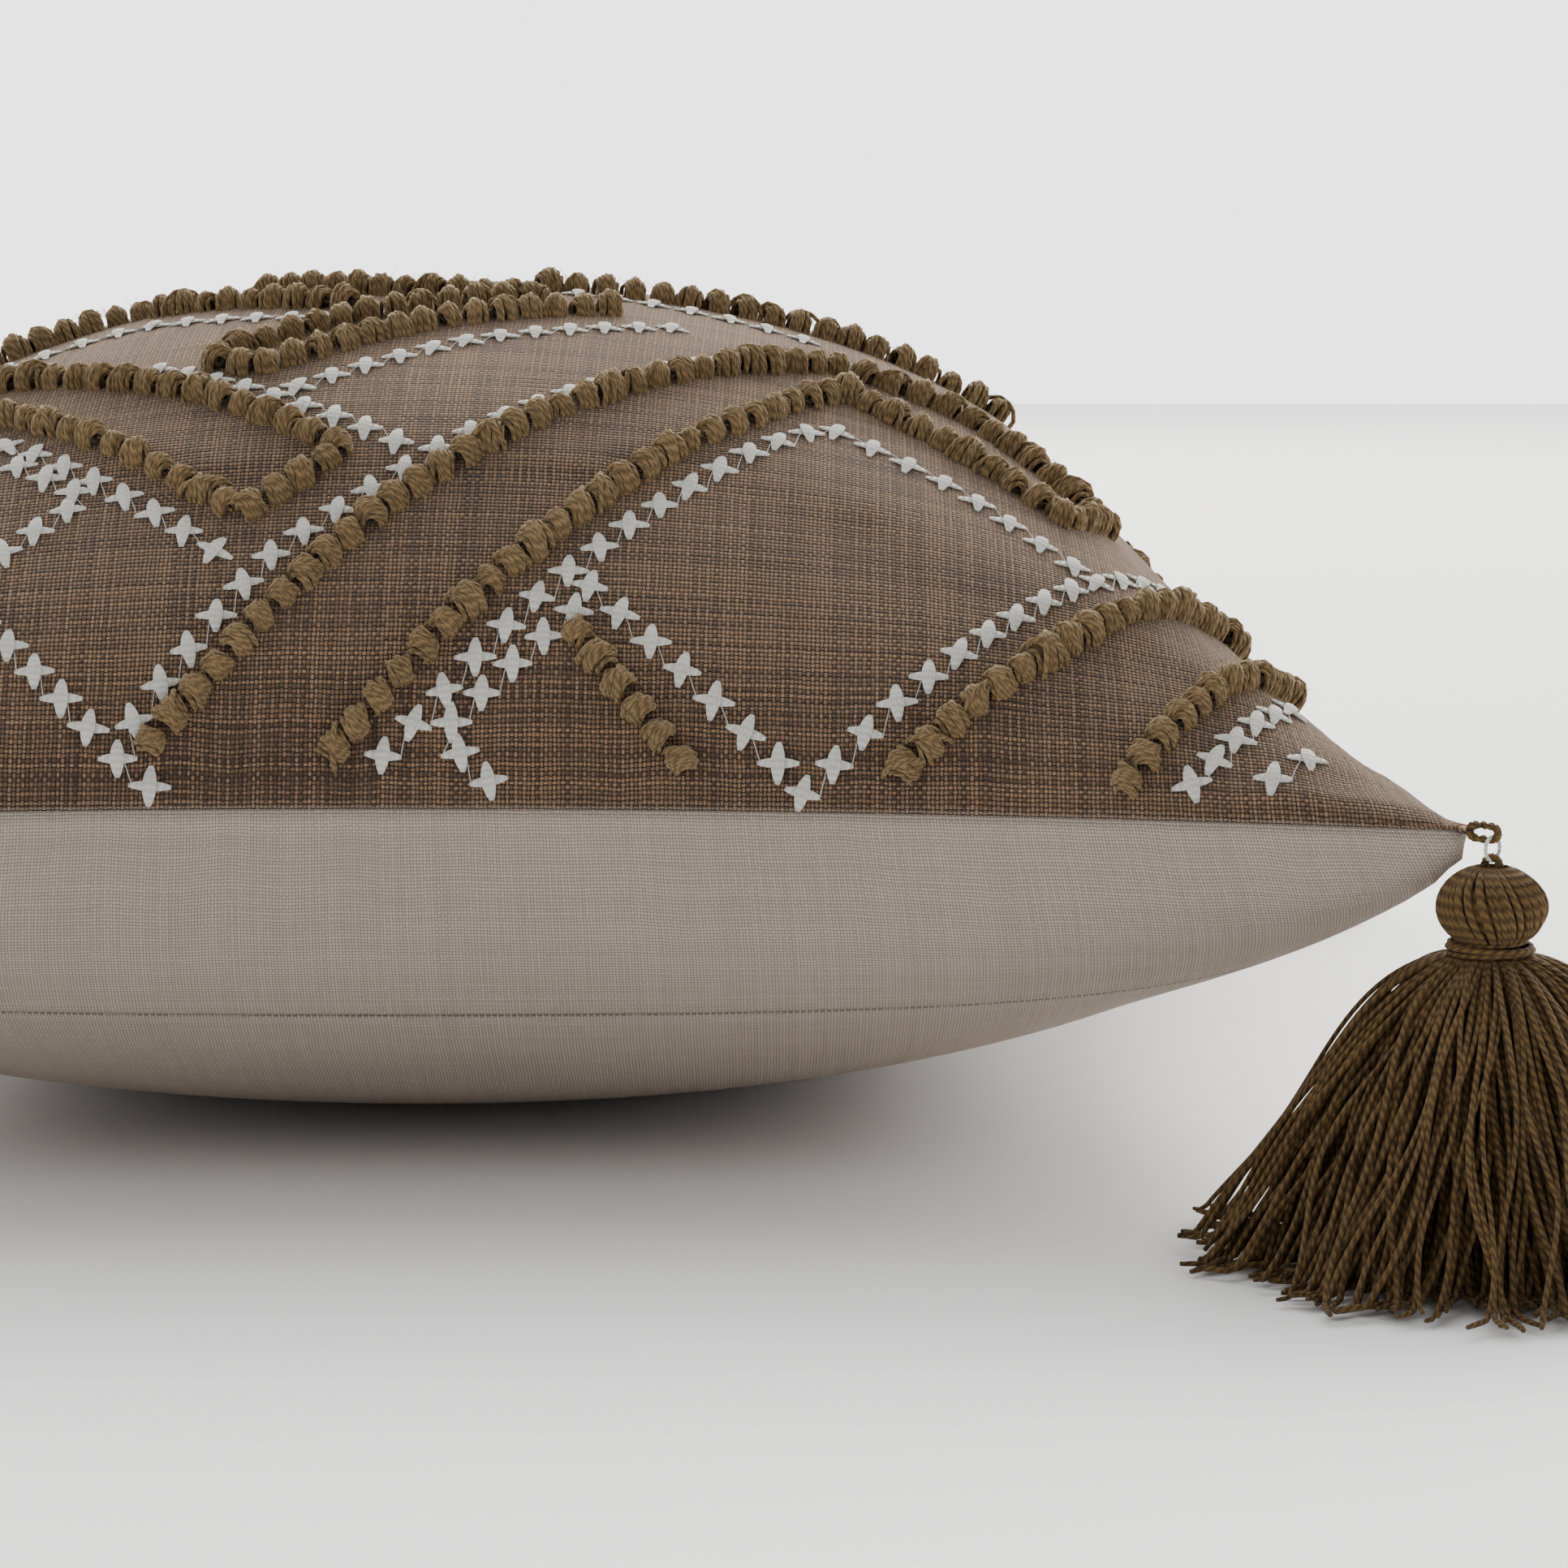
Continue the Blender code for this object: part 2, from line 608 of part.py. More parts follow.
def build_insert():
    steps = spread(-1, 1, INSERT_STEPS)
    insets = {"edge_inset": INSERT_EDGE_EASE, "face_inset": INSERT_FACE_EASE, "corner_mouth": INSERT_MOUTH}
    add_shell("insert_front", steps, steps, FRONT, INSERT_CLOTH, insert_material, **insets)
    add_shell("insert_back", steps, steps, BACK, INSERT_CLOTH, insert_material, zip_press=ZIP_RECESS, **insets)
    add_filling(
        "fibre_fill", fill_material, INSERT_EDGE_EASE + FILL_EASE, INSERT_FACE_EASE + FILL_EASE, ZIP_RECESS
    )


clear_scene()
parts = new_collection("throw_pillow")
cutters = new_collection("cutters")

front_material = new_material("brown_weave", (0.262, 0.178, 0.102), 0.90)
back_material = new_material("cream_canvas", (0.451, 0.376, 0.291), 0.90)
yarn_material = new_material("olive_yarn", (0.115, 0.072, 0.030), 0.85)
thread_material = new_material("pale_thread", (0.680, 0.640, 0.540), 0.80)
tape_material = new_material("zip_tape", (0.430, 0.360, 0.280), 0.85)
teeth_material = new_material("zip_teeth", (0.400, 0.330, 0.250), 0.45)
metal_material = new_material("zip_metal", (0.560, 0.520, 0.450), 0.35, 1.0)
insert_material = new_material("insert_cloth", (0.800, 0.790, 0.760), 0.90)
fill_material = new_material("fibre_fill", (0.900, 0.900, 0.890), 0.95)

zip_middle, zip_out, zip_inwards = zip_frame()
zip_pivot, zip_axis, zip_half_angle, zip_radius = zip_arc()

build_cover()
build_overlock()
build_insert()
build_zipper()
for corner_name, sign_x, sign_y in CORNERS:
    build_tassel(corner_name, sign_x, sign_y)
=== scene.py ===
"""Looks of the throw pillow: simulated cover, embroidery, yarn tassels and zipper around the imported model."""

import math

import bpy
import numpy as np
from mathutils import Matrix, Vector


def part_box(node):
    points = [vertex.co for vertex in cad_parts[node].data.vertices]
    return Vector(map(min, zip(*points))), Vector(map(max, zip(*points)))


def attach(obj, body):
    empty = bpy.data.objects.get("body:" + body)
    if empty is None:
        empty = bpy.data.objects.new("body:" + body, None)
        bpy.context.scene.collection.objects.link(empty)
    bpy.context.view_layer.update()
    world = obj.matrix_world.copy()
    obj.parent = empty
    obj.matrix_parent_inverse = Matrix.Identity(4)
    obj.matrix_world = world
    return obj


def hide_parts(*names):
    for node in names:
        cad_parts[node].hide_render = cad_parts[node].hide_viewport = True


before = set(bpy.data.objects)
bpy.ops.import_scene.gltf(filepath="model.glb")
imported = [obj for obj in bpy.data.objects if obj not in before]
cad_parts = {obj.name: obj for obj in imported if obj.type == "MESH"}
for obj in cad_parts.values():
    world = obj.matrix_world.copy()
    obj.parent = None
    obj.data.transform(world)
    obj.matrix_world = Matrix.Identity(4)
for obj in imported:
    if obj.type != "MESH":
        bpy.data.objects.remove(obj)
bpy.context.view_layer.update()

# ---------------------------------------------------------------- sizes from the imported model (metres)
front_low, front_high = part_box("front_panel")
_, back_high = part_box("back_panel")
HALF = front_high.x                         # half the corner-to-corner side
SEAM = (front_low.z + back_high.z) / 2      # height of the seam
TOP_RISE = front_high.z - front_low.z

# ---------------------------------------------------------------- shape of the skin, as in the model
EDGE_PULL = 0.155           # how far the middle of each side is drawn in, as a share of HALF
PULL_POWER = 1.5
TOP_FULLNESS = 0.613        # power of the front's swelling
FLATTENING = 0.0025         # how much deeper the back would hang if the floor didn't hold it up
WALL_SHARE = 0.72           # share of the back's depth that is its steep wall
WALL_POWER = 0.28
BELLY_POWER = 0.85
FLAT = 0.457                # side of the flat square that each panel is cut to
ZIP_ACROSS = -0.90          # the zipper's row on the skin, from -1 to 1
ZIP_LIP = 0.00042           # half the gap between the folded edges over the zipper

# ---------------------------------------------------------------- cloth and what lies inside (metres)
COVER_CLOTH = 0.0009
INSERT_CLOTH = 0.0008
INSERT_INSETS = (0.0052, 0.0028)    # how far the insert lies inside the cover, at the edge and at the face
FIBRE_INSETS = (0.0070, 0.0046)
ZIP_RECESS = 0.0080         # how deep the insert gives way to the zipper
ZIP_RECESS_SPAN = 0.075
LEAST_HEIGHT = 0.0002       # of cloth over the floor
PUCKER = 0.00035            # height of the gathers at the seam

# ---------------------------------------------------------------- cloth simulation
GRID = 72                   # mesh divisions across a panel
PRESSURE = 2.2
CLOTH_FRAMES = 14
SPARE_CLOTH = 0.012         # how much larger the cloth is than the shape it fills
FOLD_LIMIT = 0.0011         # how far folds may stand out or sink in
MAX_SLIDE = 0.0020          # how far a point may slide along the cloth
ZIP_HOLD = 0.14             # width of the band beside the zipper that stays in place
RNG_SEED = 7

# ---------------------------------------------------------------- embroidery (metres on the flat panel)
KNOT_PITCH = 0.0067
KNOT_WIDTH = 0.0036         # half the size across the row
KNOT_HEIGHT = 0.0054
KNOT_STRANDS = 8
KNOT_YARN = 0.00056         # radius
KNOT_HAIRS = 16             # loose fibres on each knot
HAIR = 0.00004              # radius
CROSS_PITCH = 0.0090
CROSS_ARM = 0.0042          # half the length of an arm
CROSS_YARN = 0.00031        # radius
LINK_YARN = 0.00012         # radius of the thread from cross to cross
MIRROR_WITHIN = 16.5        # centimetres from the near edge: rows inside it are repeated along the far edge
CHART_SHIFT = 0.045         # how far the rows move to the left, most in the middle of the panel

# The stitch chart: rows as corner points in centimetres from the right edge and the near edge.
KNOT_CHART = (
    ((43.4, 1.4), (34.8, 10.5), (31.3, 13.8), (26.3, 10.9), (23.0, 8.4), (25.0, 6.6), (28.1, 9.1),
     (30.8, 11.2), (39.5, 1.4)),
    ((26.6, 1.4), (21.8, 7.0), (18.0, 10.5), (14.7, 13.5), (12.6, 15.3), (9.5, 15.2), (6.0, 12.0),
     (7.3, 9.8), (9.7, 11.6), (12.4, 13.2), (14.3, 10.6), (17.2, 7.5), (22.8, 1.3)),
    ((17.8, 16.8), (21.3, 14.8), (25.2, 11.9), (26.4, 12.7), (23.3, 15.2), (19.6, 17.2)),
    ((19.3, 19.5), (15.0, 20.2), (11.7, 20.8), (8.3, 21.4)),
    ((11.0, 1.0), (8.2, 3.6), (5.5, 6.6), (2.8, 9.8)),
    ((6.5, 0.8), (4.6, 3.6), (2.2, 6.6)),
    ((17.8, 3.6), (15.6, 1.0)),
    ((32.6, 17.2), (29.0, 19.4), (25.4, 17.4), (23.7, 16.5)),
    ((25.8, 19.8), (22.6, 18.0), (19.4, 17.2)),
    ((45.0, 9.6), (41.0, 14.0), (37.0, 18.0), (33.5, 15.6)),
)
CROSS_CHART = (
    ((13.1, 0.4), (10.0, 3.4), (6.4, 7.3), (4.4, 9.5)),
    ((13.6, 1.0), (17.6, 4.7)),
    ((21.8, 1.1), (17.0, 6.2), (12.7, 10.9), (9.8, 9.4), (7.3, 7.3)),
    ((19.6, 0.6), (20.6, 1.6), (17.9, 4.1)),
    ((26.6, 0.5), (27.4, 1.2), (24.2, 5.6), (18.4, 10.8), (15.0, 13.9)),
    ((27.9, 1.7), (32.0, 5.8)),
    ((25.5, 5.6), (29.7, 9.1), (31.1, 10.2)),
    ((30.0, 5.9), (28.4, 7.4), (30.0, 8.7)),
    ((24.2, 11.0), (20.4, 13.7), (16.3, 15.9)),
    ((27.4, 12.6), (24.1, 10.2), (21.9, 8.7)),
    ((32.2, 15.6), (28.4, 16.9), (24.0, 15.4)),
    ((18.6, 19.0), (13.3, 18.2)),
    ((5.2, 0.8), (2.8, 4.2)),
    ((3.6, 1.1), (2.8, 2.0)),
    ((38.6, 1.1), (33.8, 6.2)),
    ((42.6, 0.5), (44.9, 3.0)),
    ((37.0, 15.6), (41.0, 11.4), (45.2, 7.2)),
)

# ---------------------------------------------------------------- tassels (metres)
YARN = 0.00062              # radius of the tassel's yarn
LOOP_YARN = 0.0009          # radius of the corner loop and the hanging loop
LOOP_STRAIGHT = 0.0020      # half the straight part of the corner loop
THREAD = 0.00045            # radius of the link thread
SKIRT_LENGTH = 0.089
# each layer's number of strands, with its widest and least angle from upright in degrees
SKIRT_LAYERS = ((240, 34, 26), (220, 29, 18), (190, 22, 11), (130, 13, 2))
SKIRT_ROOT = 0.0062         # distance of the strands' upper ends from the tassel's axis
SHOULDER = 1.60             # how much further over the strands lean as they leave the binding
HEAD_STRANDS = 54
BINDING_TURNS = 5
FLOOR_GAP = 0.0012          # least height of the strands' ends
# how far each corner's tassel flares
TASSELS = {"near_right": 1.0, "near_left": 1.0, "far_right": 0.66, "far_left": 0.66}

# ---------------------------------------------------------------- light and camera
ROOM_FRONT = 0.48           # strength of the room's light in front of the pillow
ROOM_HORIZON = 3.0          # behind it, at the horizon
ROOM_BACK = 6.5             # behind it, higher up
FLOOR_REACH = 6.0
CAMERA_PLACE = (0.0852, -HALF - 0.7776, SEAM + 0.1078)
CAMERA_TILT = 7.19          # degrees below level
CAMERA_LENS = 89.15         # millimetres, on a sensor 36 mm wide

rng = np.random.default_rng(RNG_SEED)


# ---------------------------------------------------------------- mesh helpers
def mesh_object(name, verts, faces, uv=None):
    """An object from arrays: faces is a list of (n, k) index arrays, uv a (loops, 2) array in their order."""
    mesh = bpy.data.meshes.new(name)
    verts = np.asarray(verts, np.float32).reshape(-1, 3)
    faces = [np.asarray(f, np.int32) for f in faces if len(f)]
    totals = np.concatenate([np.full(len(f), f.shape[1], np.int32) for f in faces])
    loops = np.concatenate([f.ravel() for f in faces])
    starts = np.concatenate(([0], np.cumsum(totals)[:-1])).astype(np.int32)
    mesh.vertices.add(len(verts))
    mesh.vertices.foreach_set("co", verts.ravel())
    mesh.loops.add(len(loops))
    mesh.loops.foreach_set("vertex_index", loops)
    mesh.polygons.add(len(totals))
    mesh.polygons.foreach_set("loop_start", starts)
    mesh.update(calc_edges=True)
    if uv is not None:
        layer = mesh.uv_layers.new(name="yarn")
        layer.data.foreach_set("uv", np.asarray(uv, np.float32).ravel())
    mesh.shade_smooth()
    mesh.validate()
    obj = bpy.data.objects.new(name, mesh)
    bpy.context.scene.collection.objects.link(obj)
    return obj


def unit(vectors):
    return vectors / np.maximum(np.linalg.norm(vectors, axis=-1, keepdims=True), 1e-12)


class Tubes:
    """Collects round yarns of many shapes into one mesh, with u along the yarn and v round it."""

    def __init__(self):
        self.verts, self.quads, self.uv = [], [], []
        self.caps, self.cap_uv = {}, {}
        self.count = 0

    def add(self, paths, radius, sides=6, closed=False, start=None):
        """paths is (yarns, points, 3); radius is a number or (yarns, points); start is a first normal."""
        paths = np.asarray(paths, float)
        yarns, n, _ = paths.shape
        radius = np.broadcast_to(np.asarray(radius, float), (yarns, n))
        if closed:
            tangent = unit(np.roll(paths, -1, 1) - np.roll(paths, 1, 1))
        else:
            tangent = unit(np.gradient(paths, axis=1))
        if start is None:
            helper = np.where(np.abs(tangent[:, 0, 2:3]) < 0.9, [[0.0, 0.0, 1.0]], [[1.0, 0.0, 0.0]])
        else:
            helper = np.broadcast_to(np.asarray(start, float), (yarns, 3))
        normal = np.zeros_like(paths)
        normal[:, 0] = unit(np.cross(tangent[:, 0], np.cross(helper, tangent[:, 0])))
        for i in range(1, n):
            carried = normal[:, i - 1]
            along = (carried * tangent[:, i]).sum(-1, keepdims=True)
            normal[:, i] = unit(carried - along * tangent[:, i])
        side = np.cross(tangent, normal)
        angle = 2 * np.pi * np.arange(sides) / sides
        ring = (
            np.cos(angle)[None, None, :, None] * normal[:, :, None, :]
            + np.sin(angle)[None, None, :, None] * side[:, :, None, :]
        )
        points = paths[:, :, None, :] + radius[:, :, None, None] * ring
        index = np.arange(yarns * n * sides).reshape(yarns, n, sides) + self.count
        steps = n if closed else n - 1
        a = index[:, :steps]
        b = np.roll(index, -1, 1)[:, :steps]
        quads = np.stack([a, b, np.roll(b, -1, 2), np.roll(a, -1, 2)], -1).reshape(-1, 4)
        lengths = np.linalg.norm(np.diff(paths, axis=1, append=paths[:, :1]), axis=-1)
        along = np.concatenate([np.zeros((yarns, 1)), np.cumsum(lengths, 1)], 1)
        u0 = np.broadcast_to(along[:, :steps, None], (yarns, steps, sides))
        u1 = np.broadcast_to(along[:, 1 : steps + 1, None], (yarns, steps, sides))
        v0 = np.broadcast_to(np.arange(sides) / sides, (yarns, steps, sides))
        v1 = v0 + 1 / sides
        uv = np.stack([np.stack(p, -1) for p in ((u0, v0), (u1, v0), (u1, v1), (u0, v1))], -2)
        self.verts.append(points.reshape(-1, 3))
        self.quads.append(quads)
        self.uv.append(uv.reshape(-1, 2))
        if not closed:
            caps = np.concatenate([index[:, 0, ::-1], index[:, -1]])
            self.caps.setdefault(sides, []).append(caps)
            self.cap_uv.setdefault(sides, []).append(np.zeros((caps.size, 2)))
        self.count += yarns * n * sides

    def object(self, name):
        verts = np.concatenate(self.verts)
        faces = [np.concatenate(self.quads)]
        uv = [np.concatenate(self.uv)]
        for sides, caps in self.caps.items():
            faces.append(np.concatenate(caps))
            uv.append(np.concatenate(self.cap_uv[sides]))
        return mesh_object(name, verts, faces, np.concatenate(uv))


# ---------------------------------------------------------------- the skin
def skin(s, t, face):
    """Points of the pillow's skin for arrays s and t in -1..1. face is 1 for the front, -1 for the back."""
    x = HALF * s * (1 - EDGE_PULL * (1 - t**2) * np.abs(s) ** PULL_POWER)
    y = HALF * t * (1 - EDGE_PULL * (1 - s**2) * np.abs(t) ** PULL_POWER)
    swell = np.clip((1 - s**2) * (1 - t**2), 0, 1)
    if face > 0:
        z = SEAM + TOP_RISE * swell**TOP_FULLNESS
    else:
        profile = WALL_SHARE * swell**WALL_POWER + (1 - WALL_SHARE) * swell**BELLY_POWER
        z = SEAM - np.minimum((SEAM + FLATTENING) * profile, SEAM)
    return np.stack([x, y, z], -1)


def bilinear(field, a, b):
    """Value of a square field at a and b in -1..1, along its first and second axis."""
    n = field.shape[0] - 1
    i = np.clip((a + 1) / 2 * n, 0, n)
    j = np.clip((b + 1) / 2 * n, 0, n)
    i0 = np.minimum(i.astype(int), n - 1)
    j0 = np.minimum(j.astype(int), n - 1)
    fi, fj = i - i0, j - j0
    if field.ndim == 3:
        fi, fj = fi[..., None], fj[..., None]
    low = field[i0, j0] * (1 - fi) + field[i0 + 1, j0] * fi
    high = field[i0, j0 + 1] * (1 - fi) + field[i0 + 1, j0 + 1] * fi
    return low * (1 - fj) + high * fj


def cloth_to_skin(a, b, face, fine=160):
    """Where a point of the flat panel (a, b in -1..1) lies on the skin, so that cloth lengths stay even."""
    line = np.sin(np.linspace(-1, 1, fine + 1) * np.pi / 2)
    s, t = np.meshgrid(line, line, indexing="ij")
    points = skin(s, t, face)
    widths = np.linalg.norm(np.diff(points, axis=0), axis=2)
    heights = np.linalg.norm(np.diff(points, axis=1), axis=2)
    across = np.concatenate([np.zeros((1, fine + 1)), np.cumsum(widths, 0)])
    along = np.concatenate([np.zeros((fine + 1, 1)), np.cumsum(heights, 1)], 1)
    across = 2 * across / across[-1:] - 1
    along = 2 * along / along[:, -1:] - 1
    p, q = a.copy(), b.copy()
    for _ in range(12):
        p = np.clip(p + 0.8 * (a - bilinear(across, p, q)), -1, 1)
        q = np.clip(q + 0.8 * (b - bilinear(along, p, q)), -1, 1)
    return np.sin(p * np.pi / 2), np.sin(q * np.pi / 2)


def grid_faces(rows, columns, flip=False):
    index = np.arange(rows * columns).reshape(rows, columns)
    quads = np.stack([index[:-1, :-1], index[1:, :-1], index[1:, 1:], index[:-1, 1:]], -1).reshape(-1, 4)
    return quads[:, ::-1] if flip else quads


def zip_row():
    """The panel coordinate of the zipper along the flat back."""
    line = np.linspace(-1, 1, 801)
    _, t = cloth_to_skin(np.zeros_like(line), line, -1)
    return float(np.interp(ZIP_ACROSS, t, line))


def sewn_bag(front, back):
    """One closed mesh of both faces: points, quads, which front points are the rim, the back's indices."""
    n = front.shape[0]
    rim = np.zeros((n, n), bool)
    rim[[0, -1]] = True
    rim[:, [0, -1]] = True
    back_index = np.arange(n * n).reshape(n, n)
    back_index[~rim] = n * n + np.arange((~rim).sum())
    front_quads = grid_faces(n, n)
    back_quads = back_index.ravel()[front_quads][:, ::-1]
    points = np.concatenate([front.reshape(-1, 3), back[~rim]])
    return points, np.concatenate([front_quads, back_quads]), rim, back_index


def simulate_cover(front, back):
    """Blow the sewn cover up with Blender's Cloth, held at the seam, and return both faces."""
    points, quads, rim, back_index = sewn_bag(front, back)
    obj = mesh_object("cover_bag", points, [quads])
    seam = obj.vertex_groups.new(name="seam")
    seam.add([int(i) for i in np.flatnonzero(rim.ravel())], 1.0, "REPLACE")
    cloth = obj.modifiers.new("cloth", "CLOTH")
    cloth.settings.quality = 6
    cloth.settings.mass = 0.25
    cloth.settings.tension_stiffness = 40
    cloth.settings.compression_stiffness = 40
    cloth.settings.shear_stiffness = 15
    cloth.settings.bending_stiffness = 0.6
    cloth.settings.air_damping = 4
    cloth.settings.shrink_min = -SPARE_CLOTH
    cloth.settings.use_pressure = True
    cloth.settings.uniform_pressure_force = PRESSURE
    cloth.settings.effector_weights.gravity = 0
    cloth.settings.vertex_group_mass = "seam"
    cloth.point_cache.frame_start = 1
    cloth.point_cache.frame_end = CLOTH_FRAMES
    for number in range(1, CLOTH_FRAMES + 1):
        bpy.context.scene.frame_set(number)
    evaluated = obj.evaluated_get(bpy.context.evaluated_depsgraph_get())
    moved = np.zeros(len(points) * 3, np.float32)
    evaluated.to_mesh().vertices.foreach_get("co", moved)
    evaluated.to_mesh_clear()
    moved = moved.reshape(-1, 3).astype(float)
    bpy.data.objects.remove(obj)
    bpy.context.scene.frame_set(1)
    moved_front = moved[: front.shape[0] ** 2].reshape(front.shape)
    moved_back = moved[back_index.ravel()].reshape(back.shape)
    return settle(front, moved_front, 1), settle(back, moved_back, -1)


def settle(start, moved, face):
    """Keep the folds of the simulated cloth, within FOLD_LIMIT of the shape that the filling gives."""
    a, b = flat_grid()
    normal = face * normals_of(start)
    shift = moved - start
    out = np.sum(shift * normal, -1)
    slide = shift - out[..., None] * normal
    swelling = (1 - a**8) * (1 - b**8) * out[8:-8, 8:-8].mean()
    folds = FOLD_LIMIT * np.tanh((out - swelling) / FOLD_LIMIT)
    length = np.linalg.norm(slide, axis=-1, keepdims=True)
    slide *= np.minimum(1, MAX_SLIDE / np.maximum(length, 1e-9))
    free = np.ones_like(b)
    if face < 0:
        free = 1 - np.exp(-(((b - zip_row()) / ZIP_HOLD) ** 2))    # the zipper holds the cloth beside it
    settled = start + free[..., None] * (slide + folds[..., None] * normal)
    settled[..., 2] = np.maximum(settled[..., 2], LEAST_HEIGHT)
    return settled


def seam_puckers(points, face):
    """Small gathers along the seam, which fade into the panel."""
    a, b = flat_grid()
    for edge, run in ((np.abs(a), b), (np.abs(b), a)):
        wave = np.sin(run * 41 + 3 * np.sin(run * 7)) + 0.6 * np.sin(run * 67 + 2)
        depth = (1 - edge) * np.exp(-(((1 - edge) / 0.09) ** 2)) / 0.05
        points[..., 2] += face * PUCKER * wave * depth * (1 - run**6)
    return points


def flat_grid():
    line = np.linspace(-1, 1, GRID + 1)
    return np.meshgrid(line, line, indexing="ij")


def make_cover_grids():
    a, b = flat_grid()
    grids = [skin(*cloth_to_skin(a, b, face), face) for face in (1, -1)]
    grids = simulate_cover(*grids)
    return [seam_puckers(grid, face) for grid, face in zip(grids, (1, -1))]


def normals_of(grid):
    return unit(np.cross(np.gradient(grid, axis=0), np.gradient(grid, axis=1)))


def inner_grid(grid, face, edge_inset, face_inset):
    """The cover's shape drawn in for what lies inside, pressed in further along the zipper."""
    inner = grid.copy()
    inner[..., :2] *= 1 - edge_inset / HALF
    inner[..., 2] = SEAM + (grid[..., 2] - SEAM) * (1 - face_inset / (TOP_RISE if face > 0 else SEAM))
    if face < 0:
        s, t = cloth_to_skin(*flat_grid(), face)
        press = np.exp(-(((t - ZIP_ACROSS) / ZIP_RECESS_SPAN) ** 2)) * (1 - s**4)
        press *= np.minimum(1, (1 - t**2) / (1 - ZIP_ACROSS**2))
        row = round((zip_row() + 1) / 2 * GRID)
        inner += ZIP_RECESS * press[..., None] * normals_of(grid)[GRID // 2, row]
    return inner


# ---------------------------------------------------------------- cloth panels
def panel(name, grid, face, rows, cloth, turn=(True, True, True, True)):
    """A cloth panel from a grid of points, with its seam edges turned in. rows picks part of the panel."""
    low, high = rows
    n = grid.shape[0] - 1
    line = np.linspace(-1, 1, n * 2 + 1)
    along = np.unique(np.concatenate([line[(line > low) & (line < high)], [low, high]]))
    a, b = np.meshgrid(line, along, indexing="ij")
    points = smooth_sample(grid, a, b)
    normal = face * unit(np.cross(np.gradient(points, axis=0), np.gradient(points, axis=1)))
    uv = np.stack([a, b], -1) * FLAT / 2
    points, uv = turn_edges(points, normal, uv, face, turn)
    rows_n, columns_n = points.shape[:2]
    quads = grid_faces(rows_n, columns_n, flip=face < 0)
    obj = mesh_object(name, points.reshape(-1, 3), [quads], uv.reshape(-1, 2)[quads].reshape(-1, 2))
    solid = obj.modifiers.new("cloth", "SOLIDIFY")
    solid.thickness = cloth
    solid.offset = -1
    return obj


def smooth_sample(grid, a, b):
    """Catmull-Rom samples of a grid, so that the finer panel is smooth."""
    n = grid.shape[0] - 1
    padded = np.pad(grid, ((1, 1), (1, 1), (0, 0)), mode="edge")
    padded[0] = 2 * padded[1] - padded[2]
    padded[-1] = 2 * padded[-2] - padded[-3]
    padded[:, 0] = 2 * padded[:, 1] - padded[:, 2]
    padded[:, -1] = 2 * padded[:, -2] - padded[:, -3]
    i, j = (a + 1) / 2 * n, (b + 1) / 2 * n
    i0 = np.minimum(i.astype(int), n - 1)
    j0 = np.minimum(j.astype(int), n - 1)
    weights_i, weights_j = cubic(i - i0), cubic(j - j0)
    total = 0
    for di in range(4):
        for dj in range(4):
            total = total + (weights_i[di] * weights_j[dj])[..., None] * padded[i0 + di, j0 + dj]
    return total


def cubic(f):
    return (
        -0.5 * f + f**2 - 0.5 * f**3,
        1 - 2.5 * f**2 + 1.5 * f**3,
        0.5 * f + 2 * f**2 - 1.5 * f**3,
        -0.5 * f**2 + 0.5 * f**3,
    )


def turn_edges(points, normal, uv, face, turn):
    """Fold the cloth in along the seams: two more rows beyond each turned edge."""
    for axis, end, wanted in ((0, 0, turn[0]), (0, -1, turn[1]), (1, 0, turn[2]), (1, -1, turn[3])):
        if not wanted:
            continue
        edge = np.take(points, end, axis)
        near = np.take(points, 1 if end == 0 else -2, axis)
        out = np.take(normal, end, axis)
        inwards = -edge.copy()
        inwards[:, 2] = 0
        inwards = unit(inwards)
        first = edge + inwards * 0.0007 - out * 0.0003
        second = edge + inwards * 0.0040
        if abs(edge[:, 2] - SEAM).max() < 0.01:
            first[:, 2] = SEAM + face * 0.00012
            second[:, 2] = SEAM + face * 0.00010
        else:
            first = edge - out * 0.0007 + unit(edge - near) * 0.0001
            second = edge - out * 0.0016 - unit(edge - near) * 0.0020
        edge_uv = np.take(uv, end, axis)
        rows = [first, second] if end == -1 else [second, first]
        rows = np.stack(rows, axis)
        row_uv = np.stack([edge_uv, edge_uv], axis)
        edge_normal = np.stack([out, out], axis)
        order = (points, rows) if end == -1 else (rows, points)
        points = np.concatenate(order, axis)
        uv = np.concatenate((uv, row_uv) if end == -1 else (row_uv, uv), axis)
        normal = np.concatenate((normal, edge_normal) if end == -1 else (edge_normal, normal), axis)
    return points, uv


# ---------------------------------------------------------------- embroidery
def chart_to_panel(row):
    """A chart row (cm from the right and near edges) as panel coordinates in -1..1."""
    points = np.array(row, float) / 100
    a = 1 - points[:, 0] / (FLAT / 2)
    a = a - CHART_SHIFT * (1 - 0.45 * a) * (1 - a**6)
    b = points[:, 1] / (FLAT / 2) - 1
    return np.stack([a, b], -1)


def mirrored(chart):
    """The chart, and the reflection in the middle of the panel of its rows that keep near the edge."""
    side = FLAT * 100
    outer = [row for row in chart if max(along for _, along in row) < MIRROR_WITHIN]
    return chart + tuple(tuple((across, side - along) for across, along in row) for row in outer)


def even_points(row, pitch):
    """Points a pitch apart along a row of straight runs, in panel coordinates."""
    points = chart_to_panel(row)
    lengths = np.linalg.norm(np.diff(points, axis=0), axis=1) * FLAT / 2
    along = np.concatenate([[0], np.cumsum(lengths)])
    count = max(2, int(round(along[-1] / pitch)) + 1)
    places = np.linspace(0, along[-1], count)
    return np.stack([np.interp(places, along, points[:, k]) for k in range(2)], -1)


